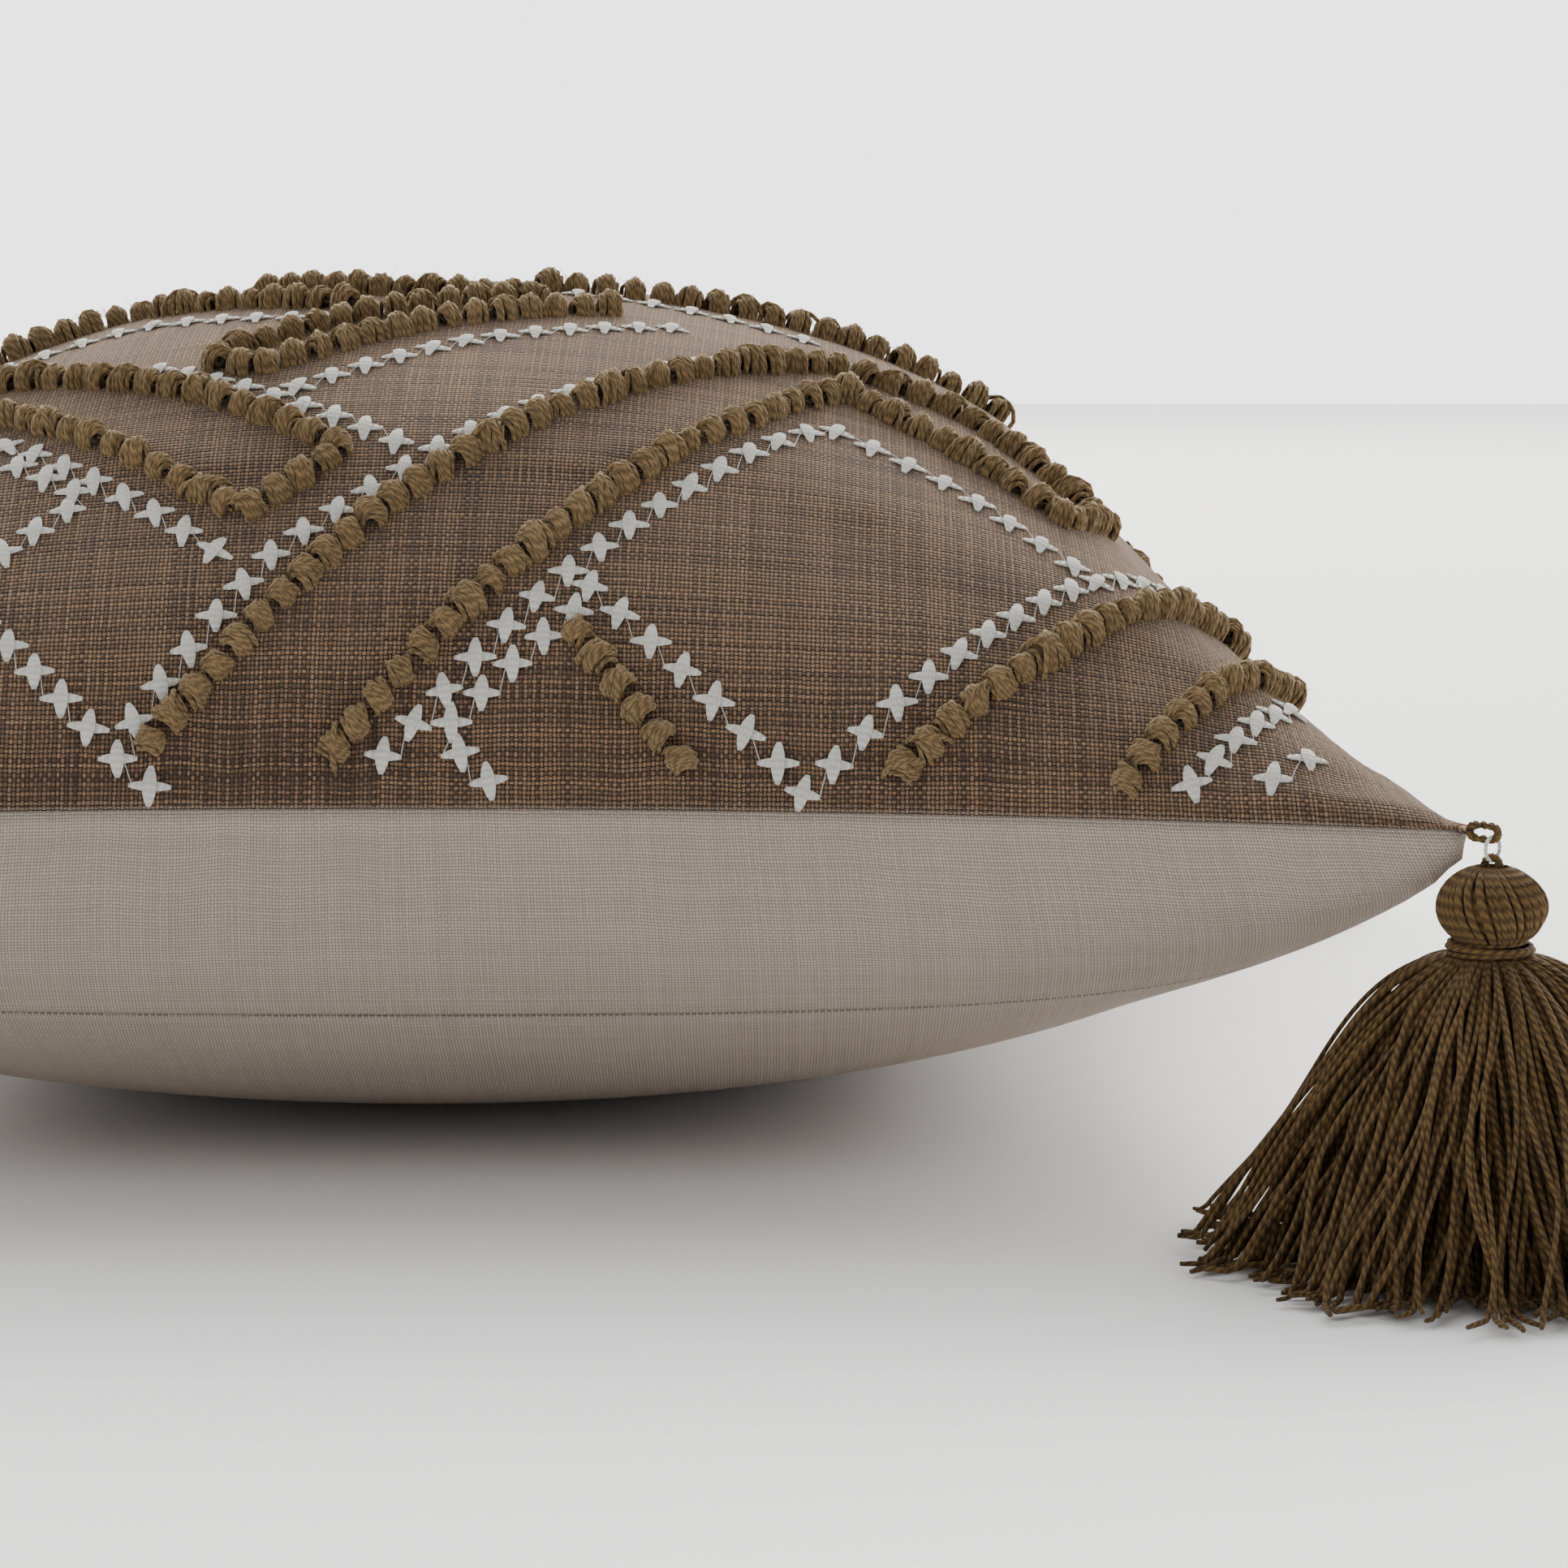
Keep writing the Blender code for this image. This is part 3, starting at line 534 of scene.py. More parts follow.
def stand_on(grid, normals, places):
    """Position, normal and the directions of the panel's threads at points of the panel."""
    a, b = places[:, 0], places[:, 1]
    step = 0.01
    position = smooth_sample(grid, a, b)
    normal = unit(bilinear(normals, a, b))
    weft = unit(bilinear(grid, np.minimum(a + step, 1), b) - bilinear(grid, np.maximum(a - step, -1), b))
    warp = unit(np.cross(normal, weft))
    return position, normal, weft, warp


def knots(grid, normals):
    """Raised knots: each is a few strands of yarn thrown over a small core, across the row."""
    strands, cores = Tubes(), Tubes()
    for row in mirrored(KNOT_CHART):
        places = even_points(row, KNOT_PITCH)
        position, normal, _, _ = stand_on(grid, normals, places)
        along = unit(np.gradient(position, axis=0))
        along = unit(along - (along * normal).sum(-1, keepdims=True) * normal)
        count = len(places)
        turn = rng.normal(0, 0.30, count)[:, None]
        side = np.cross(normal, along)
        row_way = np.cos(turn) * along + np.sin(turn) * side
        across = np.cross(normal, row_way)
        size = rng.normal(1.0, 0.09, count)[:, None, None]
        for k in range(KNOT_STRANDS):
            offset = ((k + 0.5) / KNOT_STRANDS * 2 - 1) * 0.86 + rng.normal(0, 0.04, count)
            slant = rng.normal(0.10, 0.12, count)
            add_knot_strand(strands, position, normal, row_way, across, size, offset, slant)
        for k in range(2):
            offset = rng.normal(0, 0.22, count)
            slant = rng.normal(0, 0.50, count)
            add_knot_strand(strands, position, normal, row_way, across, size * 1.05, offset, slant)
        add_cores(cores, position, normal, size, row_way)
        add_hairs(strands, position, normal, row_way, across)
    return strands.object("knot_yarn"), cores.object("knot_cores")


def add_knot_strand(strands, position, normal, row_way, across, size, offset, slant):
    """One strand of each knot, from the cloth up over the core and down again on the row's other side."""
    fall = np.linspace(-0.05, 1.05, 8) * np.pi
    offset = np.clip(offset, -1, 1)[:, None, None]
    swell = np.sqrt(np.clip(1 - 0.90 * offset**2, 0.05, 1))
    lift, reach = np.sin(fall)[None, :, None], np.cos(fall)[None, :, None]
    path = (
        position[:, None, :]
        + size * KNOT_PITCH * 0.47 * (offset + slant[:, None, None] * reach) * row_way[:, None, :]
        + size * (KNOT_WIDTH - KNOT_YARN) * swell * reach * across[:, None, :]
        + size * (KNOT_HEIGHT - KNOT_YARN) * swell * lift * normal[:, None, :]
    )
    path += rng.normal(0, 0.00010, path.shape)
    radius = KNOT_YARN * rng.uniform(0.85, 1.15, (len(position), 1)) * np.ones((1, len(fall)))
    strands.add(path, radius, sides=6)


def add_hairs(strands, position, normal, row_way, across):
    """Loose fibres that stand off the knots."""
    count = len(position)
    for _ in range(KNOT_HAIRS):
        turn = rng.uniform(0, 2 * np.pi, (count, 1))
        rise = rng.uniform(0.15, 1.0, (count, 1))
        way = unit(np.cos(turn) * row_way + np.sin(turn) * across + rise * normal)
        middle = position + 0.0016 * normal
        start = middle + way * KNOT_WIDTH * 0.80
        bend = unit(rng.normal(0, 1, (count, 3)))
        length = rng.uniform(0.0008, 0.0022, (count, 1))
        run = np.linspace(0, 1, 4)[None, :, None]
        drift = run * way[:, None, :] + run**2 * 0.7 * bend[:, None, :]
        path = start[:, None, :] + length[:, None, :] * drift
        strands.add(path, HAIR, sides=3)


def add_cores(cores, position, normal, size, row_way):
    """Round the inside of each knot, so that no cloth shows between its strands."""
    run = np.linspace(-1, 1, 6)
    radius = size[..., 0] * 0.0026 * np.sqrt(1 - 0.90 * run**2)
    reach = size * 0.0024 * run[None, :, None] * row_way[:, None, :]
    path = position[:, None, :] + size * 0.0021 * normal[:, None, :] + reach
    cores.add(path, np.broadcast_to(radius, path.shape[:2]), sides=7)


def crosses(grid, normals):
    """Flat cross stitches along the weave's threads: an upright arm over a level one, and links between."""
    stitches = Tubes()
    for row in mirrored(CROSS_CHART):
        places = even_points(row, CROSS_PITCH)
        position, normal, weft, warp = stand_on(grid, normals, places)
        count = len(places)
        lean = rng.normal(0, 0.16, count)[:, None]
        level = np.cos(lean) * weft + np.sin(lean) * warp
        upright = np.cos(lean) * warp - np.sin(lean) * weft
        add_arm(stitches, position, normal, level, upright, 5, 0.0001, 0.0011)
        add_arm(stitches, position, normal, upright, level, 6, 0.0008, 0.0015)
        add_links(stitches, position, normal, level)
    return stitches.object("cross_stitches")


def add_arm(stitches, position, normal, way, side, threads, lift, width):
    """One arm of each cross: threads that spread in the middle and meet at both ends."""
    run = np.linspace(-1, 1, 8)
    count = len(position)
    length = CROSS_ARM * rng.uniform(0.92, 1.08, (count, 1, 1))
    bulge = (1 - run**2)[None, :, None]
    for k in range(threads):
        spread = ((k + 0.5) / threads * 2 - 1) * width
        height = lift * bulge + 0.00045 * bulge * (1 - (spread / (width * 1.2)) ** 2) + CROSS_YARN * 0.4
        path = (
            position[:, None, :]
            + length * run[None, :, None] * way[:, None, :]
            + spread * (0.22 + 0.78 * bulge) * side[:, None, :]
            + height * normal[:, None, :]
        )
        stitches.add(path, CROSS_YARN * (0.75 + 0.25 * bulge[..., 0]) * np.ones((count, 1)), sides=5)


def add_links(stitches, position, normal, level):
    """Thin thread from the side of one cross to the side of the next."""
    if len(position) < 2:
        return
    way = np.sign(((position[1:] - position[:-1]) * level[:-1]).sum(-1, keepdims=True))
    start = position[:-1] + way * level[:-1] * CROSS_ARM * 0.9
    end = position[1:] - way * level[1:] * CROSS_ARM * 0.3
    run = np.linspace(0, 1, 6)[None, :, None]
    middle = np.sin(np.pi * run) * 0.0004
    path = start[:, None, :] * (1 - run) + end[:, None, :] * run
    path = path + (0.00022 + middle) * normal[:-1, None, :]
    stitches.add(path, LINK_YARN, sides=4)


# ---------------------------------------------------------------- tassels
def tassel_frame(corner):
    """Middle of the head's axis, and the outward direction, from the model's boxes."""
    low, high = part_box(f"tassel_head_{corner}")
    middle = (low + high) / 2
    out = Vector((math.copysign(1, middle.x), math.copysign(1, middle.y), 0)).normalized()
    return middle, out, low, high


def skirt_paths(neck, count, steep, least, flare):
    """Strands that spring out under the binding and fall to the floor."""
    steps = 34
    azimuth = (np.arange(count) + rng.uniform(-0.42, 0.42, count)) / count * 2 * np.pi
    angle = flare * np.radians(rng.uniform(least, steep, count))
    cut = SKIRT_LENGTH * rng.uniform(0.90, 1.05, count)
    run = np.linspace(0, 1, steps)[None, :]
    wave = rng.uniform(0.04, 0.16, (count, 1)) * np.sin(run * 9 + rng.uniform(0, 6, (count, 1)))
    lean = angle[:, None] * (1 + SHOULDER * np.exp(-run / 0.15)) + wave
    step = cut[:, None] / (steps - 1)
    radius = SKIRT_ROOT + np.concatenate([np.zeros((count, 1)), np.cumsum(np.sin(lean[:, 1:]) * step, 1)], 1)
    drop = np.concatenate([np.zeros((count, 1)), np.cumsum(np.cos(lean[:, 1:]) * step, 1)], 1)
    swirl = rng.normal(0, 0.16, (count, 1)) * run + 0.05 * np.sin(run * 8 + rng.uniform(0, 6, (count, 1)))
    turn = azimuth[:, None] + swirl
    height = np.maximum(neck.z - drop, FLOOR_GAP + rng.uniform(0, 0.002, (count, 1)))
    x = neck.x + radius * np.cos(turn)
    y = neck.y + radius * np.sin(turn)
    return np.stack([x, y, height], -1)


def skirt_yarn(corner, flare):
    middle, _, _, _ = tassel_frame(corner)
    _, skirt_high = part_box(f"tassel_skirt_{corner}")
    neck = Vector((middle.x, middle.y, skirt_high.z + 0.001))
    skirt = Tubes()
    for count, steep, least in SKIRT_LAYERS:
        paths = skirt_paths(neck, count, steep, least, flare)
        taper = np.ones(paths.shape[1])
        taper[-2:] = (0.95, 0.8)
        skirt.add(paths, YARN * taper[None, :] * rng.uniform(0.85, 1.1, (count, 1)), sides=6)
    return skirt.object(f"skirt_yarn_{corner}")


def head_yarn(corner):
    """Strands laid over a round core, from the top of the head down to the binding."""
    middle, _, low, high = tassel_frame(corner)
    _, bind_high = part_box(f"neck_binding_{corner}")
    half_height = (high.z - bind_high.z) / 2 + 0.001
    centre = Vector((middle.x, middle.y, (high.z + bind_high.z) / 2))
    ball = (high.x - low.x) / 2
    run = np.linspace(0.30, np.pi - 0.52, 14)[None, :]
    count = HEAD_STRANDS
    start = (np.arange(count) + rng.uniform(-0.2, 0.2, count))[:, None] / count * 2 * np.pi
    turn = start + 0.25 * (run - 1.5) + rng.normal(0, 0.03, (count, 1))
    swell = ball * np.sin(run) * rng.normal(1, 0.02, (count, 1))
    level = np.broadcast_to(centre.z + half_height * np.cos(run), turn.shape)
    points = np.stack([centre.x + swell * np.cos(turn), centre.y + swell * np.sin(turn), level], -1)
    head = Tubes()
    head.add(points, YARN * 1.05, sides=6)
    core_run = np.linspace(0.2, np.pi - 0.45, 12)
    core_level = centre.z + half_height * 0.9 * np.cos(core_run)
    core_path = np.stack([np.full(12, centre.x), np.full(12, centre.y), core_level], -1)
    head.add(core_path[None], (ball * np.sin(core_run) * 0.93)[None], sides=24)
    return head.object(f"head_yarn_{corner}")


def binding_yarn(corner):
    """Turns of yarn round the neck."""
    middle, _, _, _ = tassel_frame(corner)
    bind_low, bind_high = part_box(f"neck_binding_{corner}")
    ring = np.linspace(0, 2 * np.pi, 40, endpoint=False)
    radius = (bind_high.x - bind_low.x) / 2 - YARN
    binding = Tubes()
    for k in range(BINDING_TURNS):
        level = bind_low.z + YARN * 0.6 + k * (bind_high.z - bind_low.z) / 4.2
        tilt = 0.0004 * np.sin(ring + k * 1.9)
        bow = radius - 0.0004 * (k - 2) ** 2
        loop = np.stack([middle.x + bow * np.cos(ring), middle.y + bow * np.sin(ring), level + tilt], -1)
        binding.add(loop[None], YARN * 0.95, sides=6, closed=True)
    return binding.object(f"binding_yarn_{corner}")


def ring_yarn(name, node, out, plane_out, yarn, long_half=0.0):
    """A loop of two-ply yarn in place of a plain ring. plane_out: the ring's plane holds the outward way."""
    low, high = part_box(node)
    middle = (low + high) / 2
    half = (high.z - low.z) / 2 - yarn
    angle = np.linspace(0, 2 * np.pi, 64, endpoint=False)
    way = out if plane_out else Vector((-out.y, out.x, 0))
    level = half * np.cos(angle)
    sine = np.sin(angle)
    reach = half * sine + long_half * np.sign(sine) * np.minimum(1, 2.2 * np.abs(sine))
    centre = np.array(middle)[None, :] + reach[:, None] * np.array(way)[None, :]
    centre[:, 2] += level
    tangent = unit(np.roll(centre, -1, 0) - np.roll(centre, 1, 0))
    first = unit(np.cross(tangent, np.array(way.cross(Vector((0, 0, 1))))[None, :]))
    second = np.cross(tangent, first)
    yarns = Tubes()
    for ply in (0, np.pi):
        turn = 9 * angle + ply
        path = centre + 0.48 * yarn * (np.cos(turn)[:, None] * first + np.sin(turn)[:, None] * second)
        yarns.add(path[None], yarn * 0.54, sides=6, closed=True)
    return yarns.object(name)


# ---------------------------------------------------------------- materials
def node_material(name, colour, roughness):
    material = bpy.data.materials.new(name)
    material.use_nodes = True
    tree = material.node_tree
    shader = tree.nodes["Principled BSDF"]
    shader.inputs["Base Color"].default_value = (*colour, 1)
    shader.inputs["Roughness"].default_value = roughness
    return material, tree, shader


class Graph:
    """Short calls for building a node tree."""

    def __init__(self, tree):
        self.tree = tree

    def node(self, kind, **settings):
        node = self.tree.nodes.new(kind)
        for key, value in settings.items():
            setattr(node, key, value)
        return node

    def put(self, socket, value):
        if hasattr(value, "links"):
            self.tree.links.new(value, socket)
        elif value is not None:
            socket.default_value = value

    def math(self, operation, a, b=None, c=None):
        node = self.node("ShaderNodeMath", operation=operation)
        for socket, value in zip(node.inputs, (a, b, c)):
            self.put(socket, value)
        return node.outputs[0]

    def noise(self, vector, scale, detail=3.0, rough=0.5):
        node = self.node("ShaderNodeTexNoise")
        self.put(node.inputs["Vector"], vector)
        node.inputs["Scale"].default_value = scale
        node.inputs["Detail"].default_value = detail
        node.inputs["Roughness"].default_value = rough
        return node.outputs["Fac"]

    def combine(self, x, y, z=0.0):
        node = self.node("ShaderNodeCombineXYZ")
        for socket, value in zip(node.inputs, (x, y, z)):
            self.put(socket, value)
        return node.outputs[0]

    def mix(self, factor, a, b):
        node = self.node("ShaderNodeMix", data_type="RGBA")
        self.put(node.inputs["Factor"], factor)
        self.put(node.inputs["A"], a if hasattr(a, "links") else (*a, 1))
        self.put(node.inputs["B"], b if hasattr(b, "links") else (*b, 1))
        return node.outputs["Result"]

    def ramp(self, value, low, high, low_out=0.0, high_out=1.0):
        node = self.node("ShaderNodeMapRange")
        node.clamp = True
        for key, setting in (
            ("Value", value), ("From Min", low), ("From Max", high), ("To Min", low_out), ("To Max", high_out)
        ):
            self.put(node.inputs[key], setting)
        return node.outputs["Result"]

    def bump(self, height, distance, strength=1.0, normal=None):
        node = self.node("ShaderNodeBump")
        node.inputs["Strength"].default_value = strength
        node.inputs["Distance"].default_value = distance
        self.put(node.inputs["Height"], height)
        if normal is not None:
            self.put(node.inputs["Normal"], normal)
        return node.outputs["Normal"]


def weave_material(name, threads_per_metre, light, dark, slub, gap_shade, edge, sheen, depth=0.00030, thread=0.33):
    """Plain weave in the panel's flat coordinates: warp and weft threads, uneven in width and colour.

    Colour darkens from each thread's crown into its sides and into the gaps between threads: painted shade. In
    the gaps it is the dark colour times the gaps' brightness setting; edge is the height at which a thread
    shows its full colour, and thread half its width as a share of the pitch.
    """
    material, tree, shader = node_material(name, light, 0.92)
    g = Graph(tree)
    uv = g.node("ShaderNodeUVMap", uv_map="yarn").outputs["UV"]
    wander = g.noise(uv, 260.0, 2.0)
    split = g.node("ShaderNodeSeparateXYZ")
    g.put(split.inputs[0], uv)
    shift = g.math("MULTIPLY", g.math("SUBTRACT", wander, 0.5), 0.45 / threads_per_metre)
    x = g.math("MULTIPLY", g.math("ADD", split.outputs[0], shift), threads_per_metre)
    y = g.math("MULTIPLY", g.math("ADD", split.outputs[1], shift), threads_per_metre * 0.94)
    column, row = g.math("FLOOR", x), g.math("FLOOR", y)
    parity = g.math("MODULO", g.math("ABSOLUTE", g.math("ADD", column, row)), 2.0)
    fx = g.math("SUBTRACT", g.math("FRACT", x), 0.5)
    fy = g.math("SUBTRACT", g.math("FRACT", y), 0.5)
    other = g.math("SUBTRACT", 1.0, parity)
    # one float of thread: long along the way it runs, narrow across
    along = g.math("ADD", g.math("MULTIPLY", fx, parity), g.math("MULTIPLY", fy, other))
    across = g.math("ADD", g.math("MULTIPLY", fy, parity), g.math("MULTIPLY", fx, other))
    width = g.math("ADD", thread, g.math("MULTIPLY", slub_noise(g, column, row, parity, uv), slub))
    crown = g.math("SUBTRACT", 1.0, g.math("POWER", g.math("DIVIDE", g.math("ABSOLUTE", across), width), 2.0))
    arch = g.math("SUBTRACT", 1.0, g.math("MULTIPLY", g.math("POWER", g.math("ABSOLUTE", along), 2.0), 2.6))
    height = g.math("MULTIPLY", g.math("MAXIMUM", crown, 0.0), g.math("MAXIMUM", arch, 0.0))
    thread_colour = g.node("ShaderNodeTexWhiteNoise", noise_dimensions="2D")
    number = g.combine(g.math("MULTIPLY", column, other), g.math("MULTIPLY", row, parity))
    g.put(thread_colour.inputs["Vector"], number)
    patch = g.noise(uv, 34.0, 4.0, 0.6)
    single = g.math("MULTIPLY", thread_colour.outputs["Value"], 0.55)
    tone = g.math("ADD", single, g.math("MULTIPLY", patch, 0.45))
    yarn_colour = g.mix(g.ramp(tone, 0.22, 0.72), dark, light)
    # painted shade: the threads' low sides and the gaps between them blend into this darkened colour
    gap_shade_colour = tuple(c * gap_shade for c in dark)
    colour = g.mix(g.ramp(height, 0.05, edge), gap_shade_colour, yarn_colour)
    g.put(shader.inputs["Base Color"], colour)
    fibre = g.noise(uv, 9000.0, 2.0)
    total = g.math("ADD", height, g.math("MULTIPLY", fibre, 0.25))
    g.put(shader.inputs["Normal"], g.bump(total, depth, 1.0))
    shader.inputs["Sheen Weight"].default_value = sheen
    shader.inputs["Sheen Roughness"].default_value = 0.45
    shader.inputs["Sheen Tint"].default_value = (1.0, 0.82, 0.66, 1.0)
    shader.inputs["Specular IOR Level"].default_value = 0.25
    return material


def slub_noise(g, column, row, parity, uv):
    """Uneven thickness that follows single threads."""
    split = g.node("ShaderNodeSeparateXYZ")
    g.put(split.inputs[0], uv)
    weft_place = g.combine(g.math("MULTIPLY", split.outputs[0], 60.0), g.math("MULTIPLY", row, 0.73))
    warp_place = g.combine(g.math("MULTIPLY", column, 0.73), g.math("MULTIPLY", split.outputs[1], 60.0))
    weft = g.noise(weft_place, 1.0, 2.0)
    warp = g.noise(warp_place, 1.0, 2.0)
    a = g.math("MULTIPLY", weft, parity)
    b = g.math("MULTIPLY", warp, g.math("SUBTRACT", 1.0, parity))
    return g.math("ADD", a, b)


def yarn_material(name, light, dark, ply, fibre, sheen, roughness=0.85, tint=(1.0, 1.0, 1.0)):
    """Twisted yarn: u runs along it and v round it. ply is the length of one twist."""
    material, tree, shader = node_material(name, light, roughness)
    g = Graph(tree)
    uv = g.node("ShaderNodeUVMap", uv_map="yarn").outputs["UV"]
    split = g.node("ShaderNodeSeparateXYZ")
    g.put(split.inputs[0], uv)
    phase = g.math("ADD", g.math("DIVIDE", split.outputs[0], ply), split.outputs[1])
    wave = g.math("SINE", g.math("MULTIPLY", phase, 4 * math.pi))
    place = g.node("ShaderNodeTexCoord").outputs["Object"]
    streak_place = g.combine(g.math("MULTIPLY", phase, 9.0), g.math("MULTIPLY", split.outputs[0], 900.0))
    streak = g.noise(streak_place, 1.0, 3.0)
    patch = g.noise(place, 160.0, 3.0)
    fuzz = g.noise(place, fibre, 2.0, 0.7)
    # painted shade: the twist's grooves are coloured darker and its crowns lighter, following the same wave as
    # the bump
    tone = g.math("ADD", g.math("MULTIPLY", g.ramp(wave, -1.0, 1.0), 0.35), g.math("MULTIPLY", streak, 0.40))
    tone = g.math("ADD", tone, g.math("MULTIPLY", patch, 0.35))
    g.put(shader.inputs["Base Color"], g.mix(g.ramp(tone, 0.22, 0.85), dark, light))
    height = g.math("ADD", g.ramp(wave, -1.0, 1.0), g.math("MULTIPLY", fuzz, 0.6))
    height = g.math("ADD", height, g.math("MULTIPLY", streak, 0.5))
    g.put(shader.inputs["Normal"], g.bump(height, 0.00022, 0.8))
    shader.inputs["Sheen Weight"].default_value = sheen
    shader.inputs["Sheen Roughness"].default_value = 0.35
    shader.inputs["Sheen Tint"].default_value = (*tint, 1)
    shader.inputs["Specular IOR Level"].default_value = 0.25
    return material


def plain_material(name, colour, roughness, scale, depth, metallic=0.0):
    """Small pieces: a base colour with fine variation and a slightly uneven surface."""
    material, tree, shader = node_material(name, colour, roughness)
    g = Graph(tree)
    place = g.node("ShaderNodeTexCoord").outputs["Object"]
    fine = g.noise(place, scale, 4.0, 0.6)
    wide = g.noise(place, scale / 12, 3.0)
    tone = g.math("ADD", g.math("MULTIPLY", fine, 0.5), g.math("MULTIPLY", wide, 0.5))
    shade = tuple(c * 0.72 for c in colour)
    g.put(shader.inputs["Base Color"], g.mix(g.ramp(tone, 0.3, 0.7), shade, colour))
    g.put(shader.inputs["Roughness"], g.ramp(fine, 0.3, 0.7, roughness * 0.85, min(1.0, roughness * 1.15)))
    g.put(shader.inputs["Normal"], g.bump(fine, depth, 0.6))
    shader.inputs["Metallic"].default_value = metallic
    return material


def give(obj, material):
    """Assign a material to a new piece or to a carried-over CAD node."""
    if obj.data.materials:
        for i in range(len(obj.data.materials)):
            obj.data.materials[i] = material
    else:
        obj.data.materials.append(material)


# ---------------------------------------------------------------- build
front_grid, back_grid = make_cover_grids()
front_normals = normals_of(front_grid)

brown = weave_material(
    "brown_slub_weave", 1100, (0.410, 0.232, 0.122), (0.075, 0.037, 0.019),
    slub=0.30, gap_shade=0.02, edge=0.80, sheen=0.45, depth=0.00060, thread=0.25,
)
cream = weave_material(
    "cream_canvas", 1500, (0.610, 0.512, 0.434), (0.500, 0.414, 0.344),
    slub=0.12, gap_shade=0.50, edge=0.45, sheen=0.25,
)
olive = yarn_material("olive_yarn", (0.175, 0.104, 0.038), (0.022, 0.011, 0.003), 0.0046, 5200.0, 0.04)
fuzzy = yarn_material(
    "olive_knot_yarn", (0.280, 0.185, 0.088), (0.060, 0.036, 0.013), 0.0046, 5200.0, 0.60,
    tint=(1.0, 0.82, 0.52),
)
# painted shade: the knots' cores take a darker olive than their strands, for the shade inside each knot
knot_inside_shade = yarn_material("olive_core_painted_shade", (0.090, 0.056, 0.022), (0.040, 0.024, 0.009), 0.0046, 5200.0, 0.1)
white = yarn_material(
    "off_white_thread", (0.780, 0.770, 0.720), (0.560, 0.550, 0.500), 0.0030, 6000.0, 0.25, roughness=0.7
)
pale = plain_material("pale_thread", (0.700, 0.660, 0.570), 0.8, 4000, 0.0001)
tape = plain_material("zip_tape_weave", (0.450, 0.375, 0.295), 0.85, 2500, 0.0001)
teeth = plain_material("zip_nylon", (0.400, 0.330, 0.250), 0.42, 1200, 0.00003)
metal = plain_material("zip_zinc", (0.560, 0.520, 0.450), 0.32, 900, 0.00002, 1.0)
insert_cloth = plain_material("insert_cloth", (0.800, 0.790, 0.760), 0.9, 1800, 0.00015)
fibre = plain_material("fibre_fill", (0.880, 0.880, 0.870), 0.95, 500, 0.0008)

front_piece = panel("front_cloth", front_grid, 1, (-1, 1), COVER_CLOTH)
give(front_piece, brown)
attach(front_piece, "cover")
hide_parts("front_panel")

# the back is cut in two along the zipper
zip_line = 2 * ZIP_LIP / FLAT
zip_b = zip_row()
for piece_name, node, rows in (
    ("back_cloth", "back_panel", (zip_b + zip_line, 1)),
    ("strip_cloth", "back_strip", (-1, zip_b - zip_line)),
):
    piece = panel(piece_name, back_grid, -1, rows, COVER_CLOTH)
    give(piece, cream)
    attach(piece, "cover")
    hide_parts(node)

knot_yarn, knot_cores = knots(front_grid, front_normals)
give(knot_yarn, fuzzy)
give(knot_cores, knot_inside_shade)
cross_yarn = crosses(front_grid, front_normals)
give(cross_yarn, white)
for piece in (knot_yarn, knot_cores, cross_yarn):
    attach(piece, "cover")

for corner, flare in TASSELS.items():
    _, out, _, _ = tassel_frame(corner)
    skirt_piece = skirt_yarn(corner, flare)
    head_piece = head_yarn(corner)
    binding_piece = binding_yarn(corner)
    hang = ring_yarn(f"hanging_yarn_{corner}", f"hanging_loop_{corner}", out, True, LOOP_YARN)
    loop = ring_yarn(f"corner_yarn_{corner}", f"corner_loop_{corner}", out, True, LOOP_YARN, LOOP_STRAIGHT)
    link = ring_yarn(f"link_yarn_{corner}", f"link_thread_{corner}", out, False, THREAD)
    for piece, node, body, material, slot in (
        (skirt_piece, f"tassel_skirt_{corner}", f"tassel_{corner}", olive, "olive_yarn"),
        (head_piece, f"tassel_head_{corner}", f"tassel_{corner}", olive, "olive_yarn"),
        (binding_piece, f"neck_binding_{corner}", f"tassel_{corner}", olive, "olive_yarn"),
        (hang, f"hanging_loop_{corner}", f"tassel_{corner}", olive, "olive_yarn"),
        (loop, f"corner_loop_{corner}", "cover", olive, "olive_yarn"),
        (link, f"link_thread_{corner}", f"link_{corner}", white, "pale_thread"),
    ):
        give(piece, material)
        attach(piece, body)
        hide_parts(node)

insert_front_grid = inner_grid(front_grid, 1, *INSERT_INSETS)
insert_back_grid = inner_grid(back_grid, -1, *INSERT_INSETS)
no_turn = (False, False, False, False)
insert_front = panel("insert_front_cloth", insert_front_grid, 1, (-1, 1), INSERT_CLOTH, no_turn)
insert_back = panel("insert_back_cloth", insert_back_grid, -1, (-1, 1), INSERT_CLOTH, no_turn)
fill_points, fill_quads, _, _ = sewn_bag(
    inner_grid(front_grid, 1, *FIBRE_INSETS), inner_grid(back_grid, -1, *FIBRE_INSETS)
)
fill_piece = mesh_object("fibre_body", fill_points, [fill_quads])
for piece, node, material, slot in (
    (insert_front, "insert_front", insert_cloth, "insert_cloth"),
    (insert_back, "insert_back", insert_cloth, "insert_cloth"),
    (fill_piece, "fibre_fill", fibre, "fibre_fill"),
):
    give(piece, material)
    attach(piece, "cover")
    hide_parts(node)

for node, material in (
    ("seam_overlock", pale),
    ("zip_tape_main", tape), ("zip_tape_strip", tape), ("zip_teeth_main", teeth), ("zip_teeth_strip", teeth),
    ("zip_top_stop_main", metal), ("zip_top_stop_strip", metal), ("zip_bottom_stop", metal),
    ("zip_slider", metal), ("zip_pull", metal),
):
    give(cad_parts[node], material)


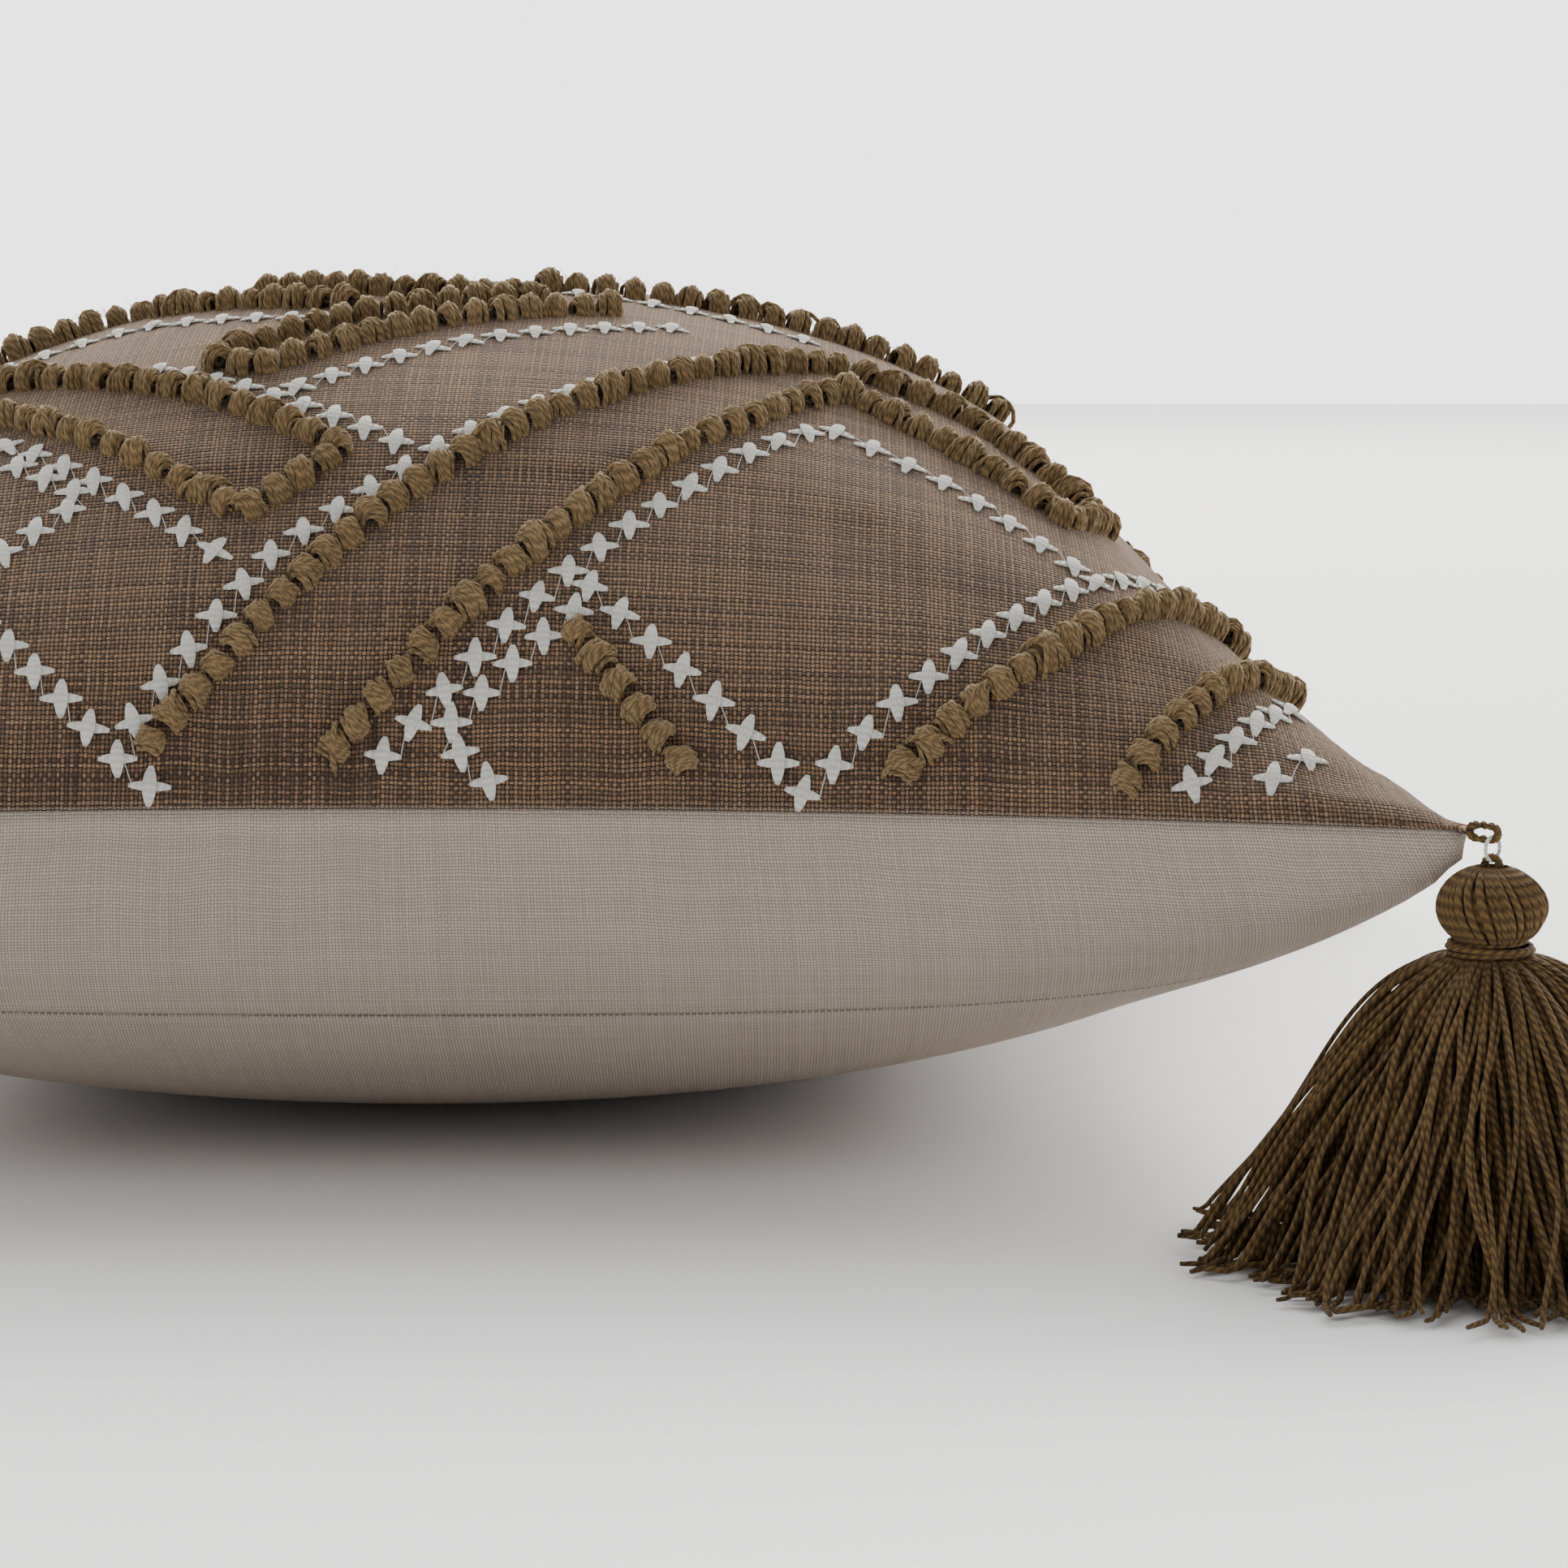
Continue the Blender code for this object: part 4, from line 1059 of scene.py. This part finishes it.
# ---------------------------------------------------------------- stage
def build_stage():
    mesh = bpy.data.meshes.new("floor")
    corners = [(x * FLOOR_REACH, y * FLOOR_REACH, 0) for x, y in ((-1, -1), (1, -1), (1, 1), (-1, 1))]
    mesh.from_pydata(corners, [], [(0, 1, 2, 3)])
    floor = bpy.data.objects.new("floor", mesh)
    floor.location.z = -0.0002
    bpy.context.scene.collection.objects.link(floor)
    material, tree, shader = node_material("pale_floor", (0.96, 0.96, 0.96), 0.9)
    g = Graph(tree)
    mottle = g.noise(g.node("ShaderNodeTexCoord").outputs["Object"], 3.0)
    g.put(shader.inputs["Base Color"], g.mix(mottle, (0.94, 0.94, 0.94), (0.97, 0.97, 0.97)))
    floor.data.materials.append(material)

    world = bpy.data.worlds.new("studio")
    bpy.context.scene.world = world
    world.use_nodes = True
    background = world.node_tree.nodes["Background"]
    background.inputs["Color"].default_value = (1.0, 1.0, 1.0, 1)
    # a bright backdrop behind and above the pillow, which dims towards the front of the room
    g = Graph(world.node_tree)
    split = g.node("ShaderNodeSeparateXYZ")
    g.put(split.inputs[0], g.node("ShaderNodeTexCoord").outputs["Generated"])
    behind = g.math("POWER", g.ramp(split.outputs[1], -0.4, 0.8), 2.0)
    glow = g.ramp(split.outputs[2], 0.08, 0.30, ROOM_HORIZON - ROOM_FRONT, ROOM_BACK - ROOM_FRONT)
    g.put(background.inputs["Strength"], g.math("ADD", g.math("MULTIPLY", behind, glow), ROOM_FRONT))


def area_light(name, place, aim, size, power, colour=(1, 1, 1)):
    light = bpy.data.lights.new(name, "AREA")
    light.shape = "DISK"
    light.size = size
    light.energy = power
    light.color = colour
    obj = bpy.data.objects.new(name, light)
    obj.location = place
    obj.rotation_euler = (Vector(aim) - Vector(place)).to_track_quat("-Z", "Y").to_euler()
    bpy.context.scene.collection.objects.link(obj)


def build_camera():
    camera = bpy.data.cameras.new("camera")
    camera.sensor_width = 36
    camera.lens = CAMERA_LENS
    obj = bpy.data.objects.new("camera", camera)
    obj.location = CAMERA_PLACE
    obj.rotation_euler = (math.radians(90 - CAMERA_TILT), 0, 0)
    bpy.context.scene.collection.objects.link(obj)
    bpy.context.scene.camera = obj


build_stage()
area_light("key", (0.4, 3.6, 3.0), (0, 0, 0.1), 2.4, 170, (1.0, 0.93, 0.84))
area_light("fill", (-0.9, -1.3, 1.2), (0, -0.1, 0.1), 1.2, 4)
build_camera()
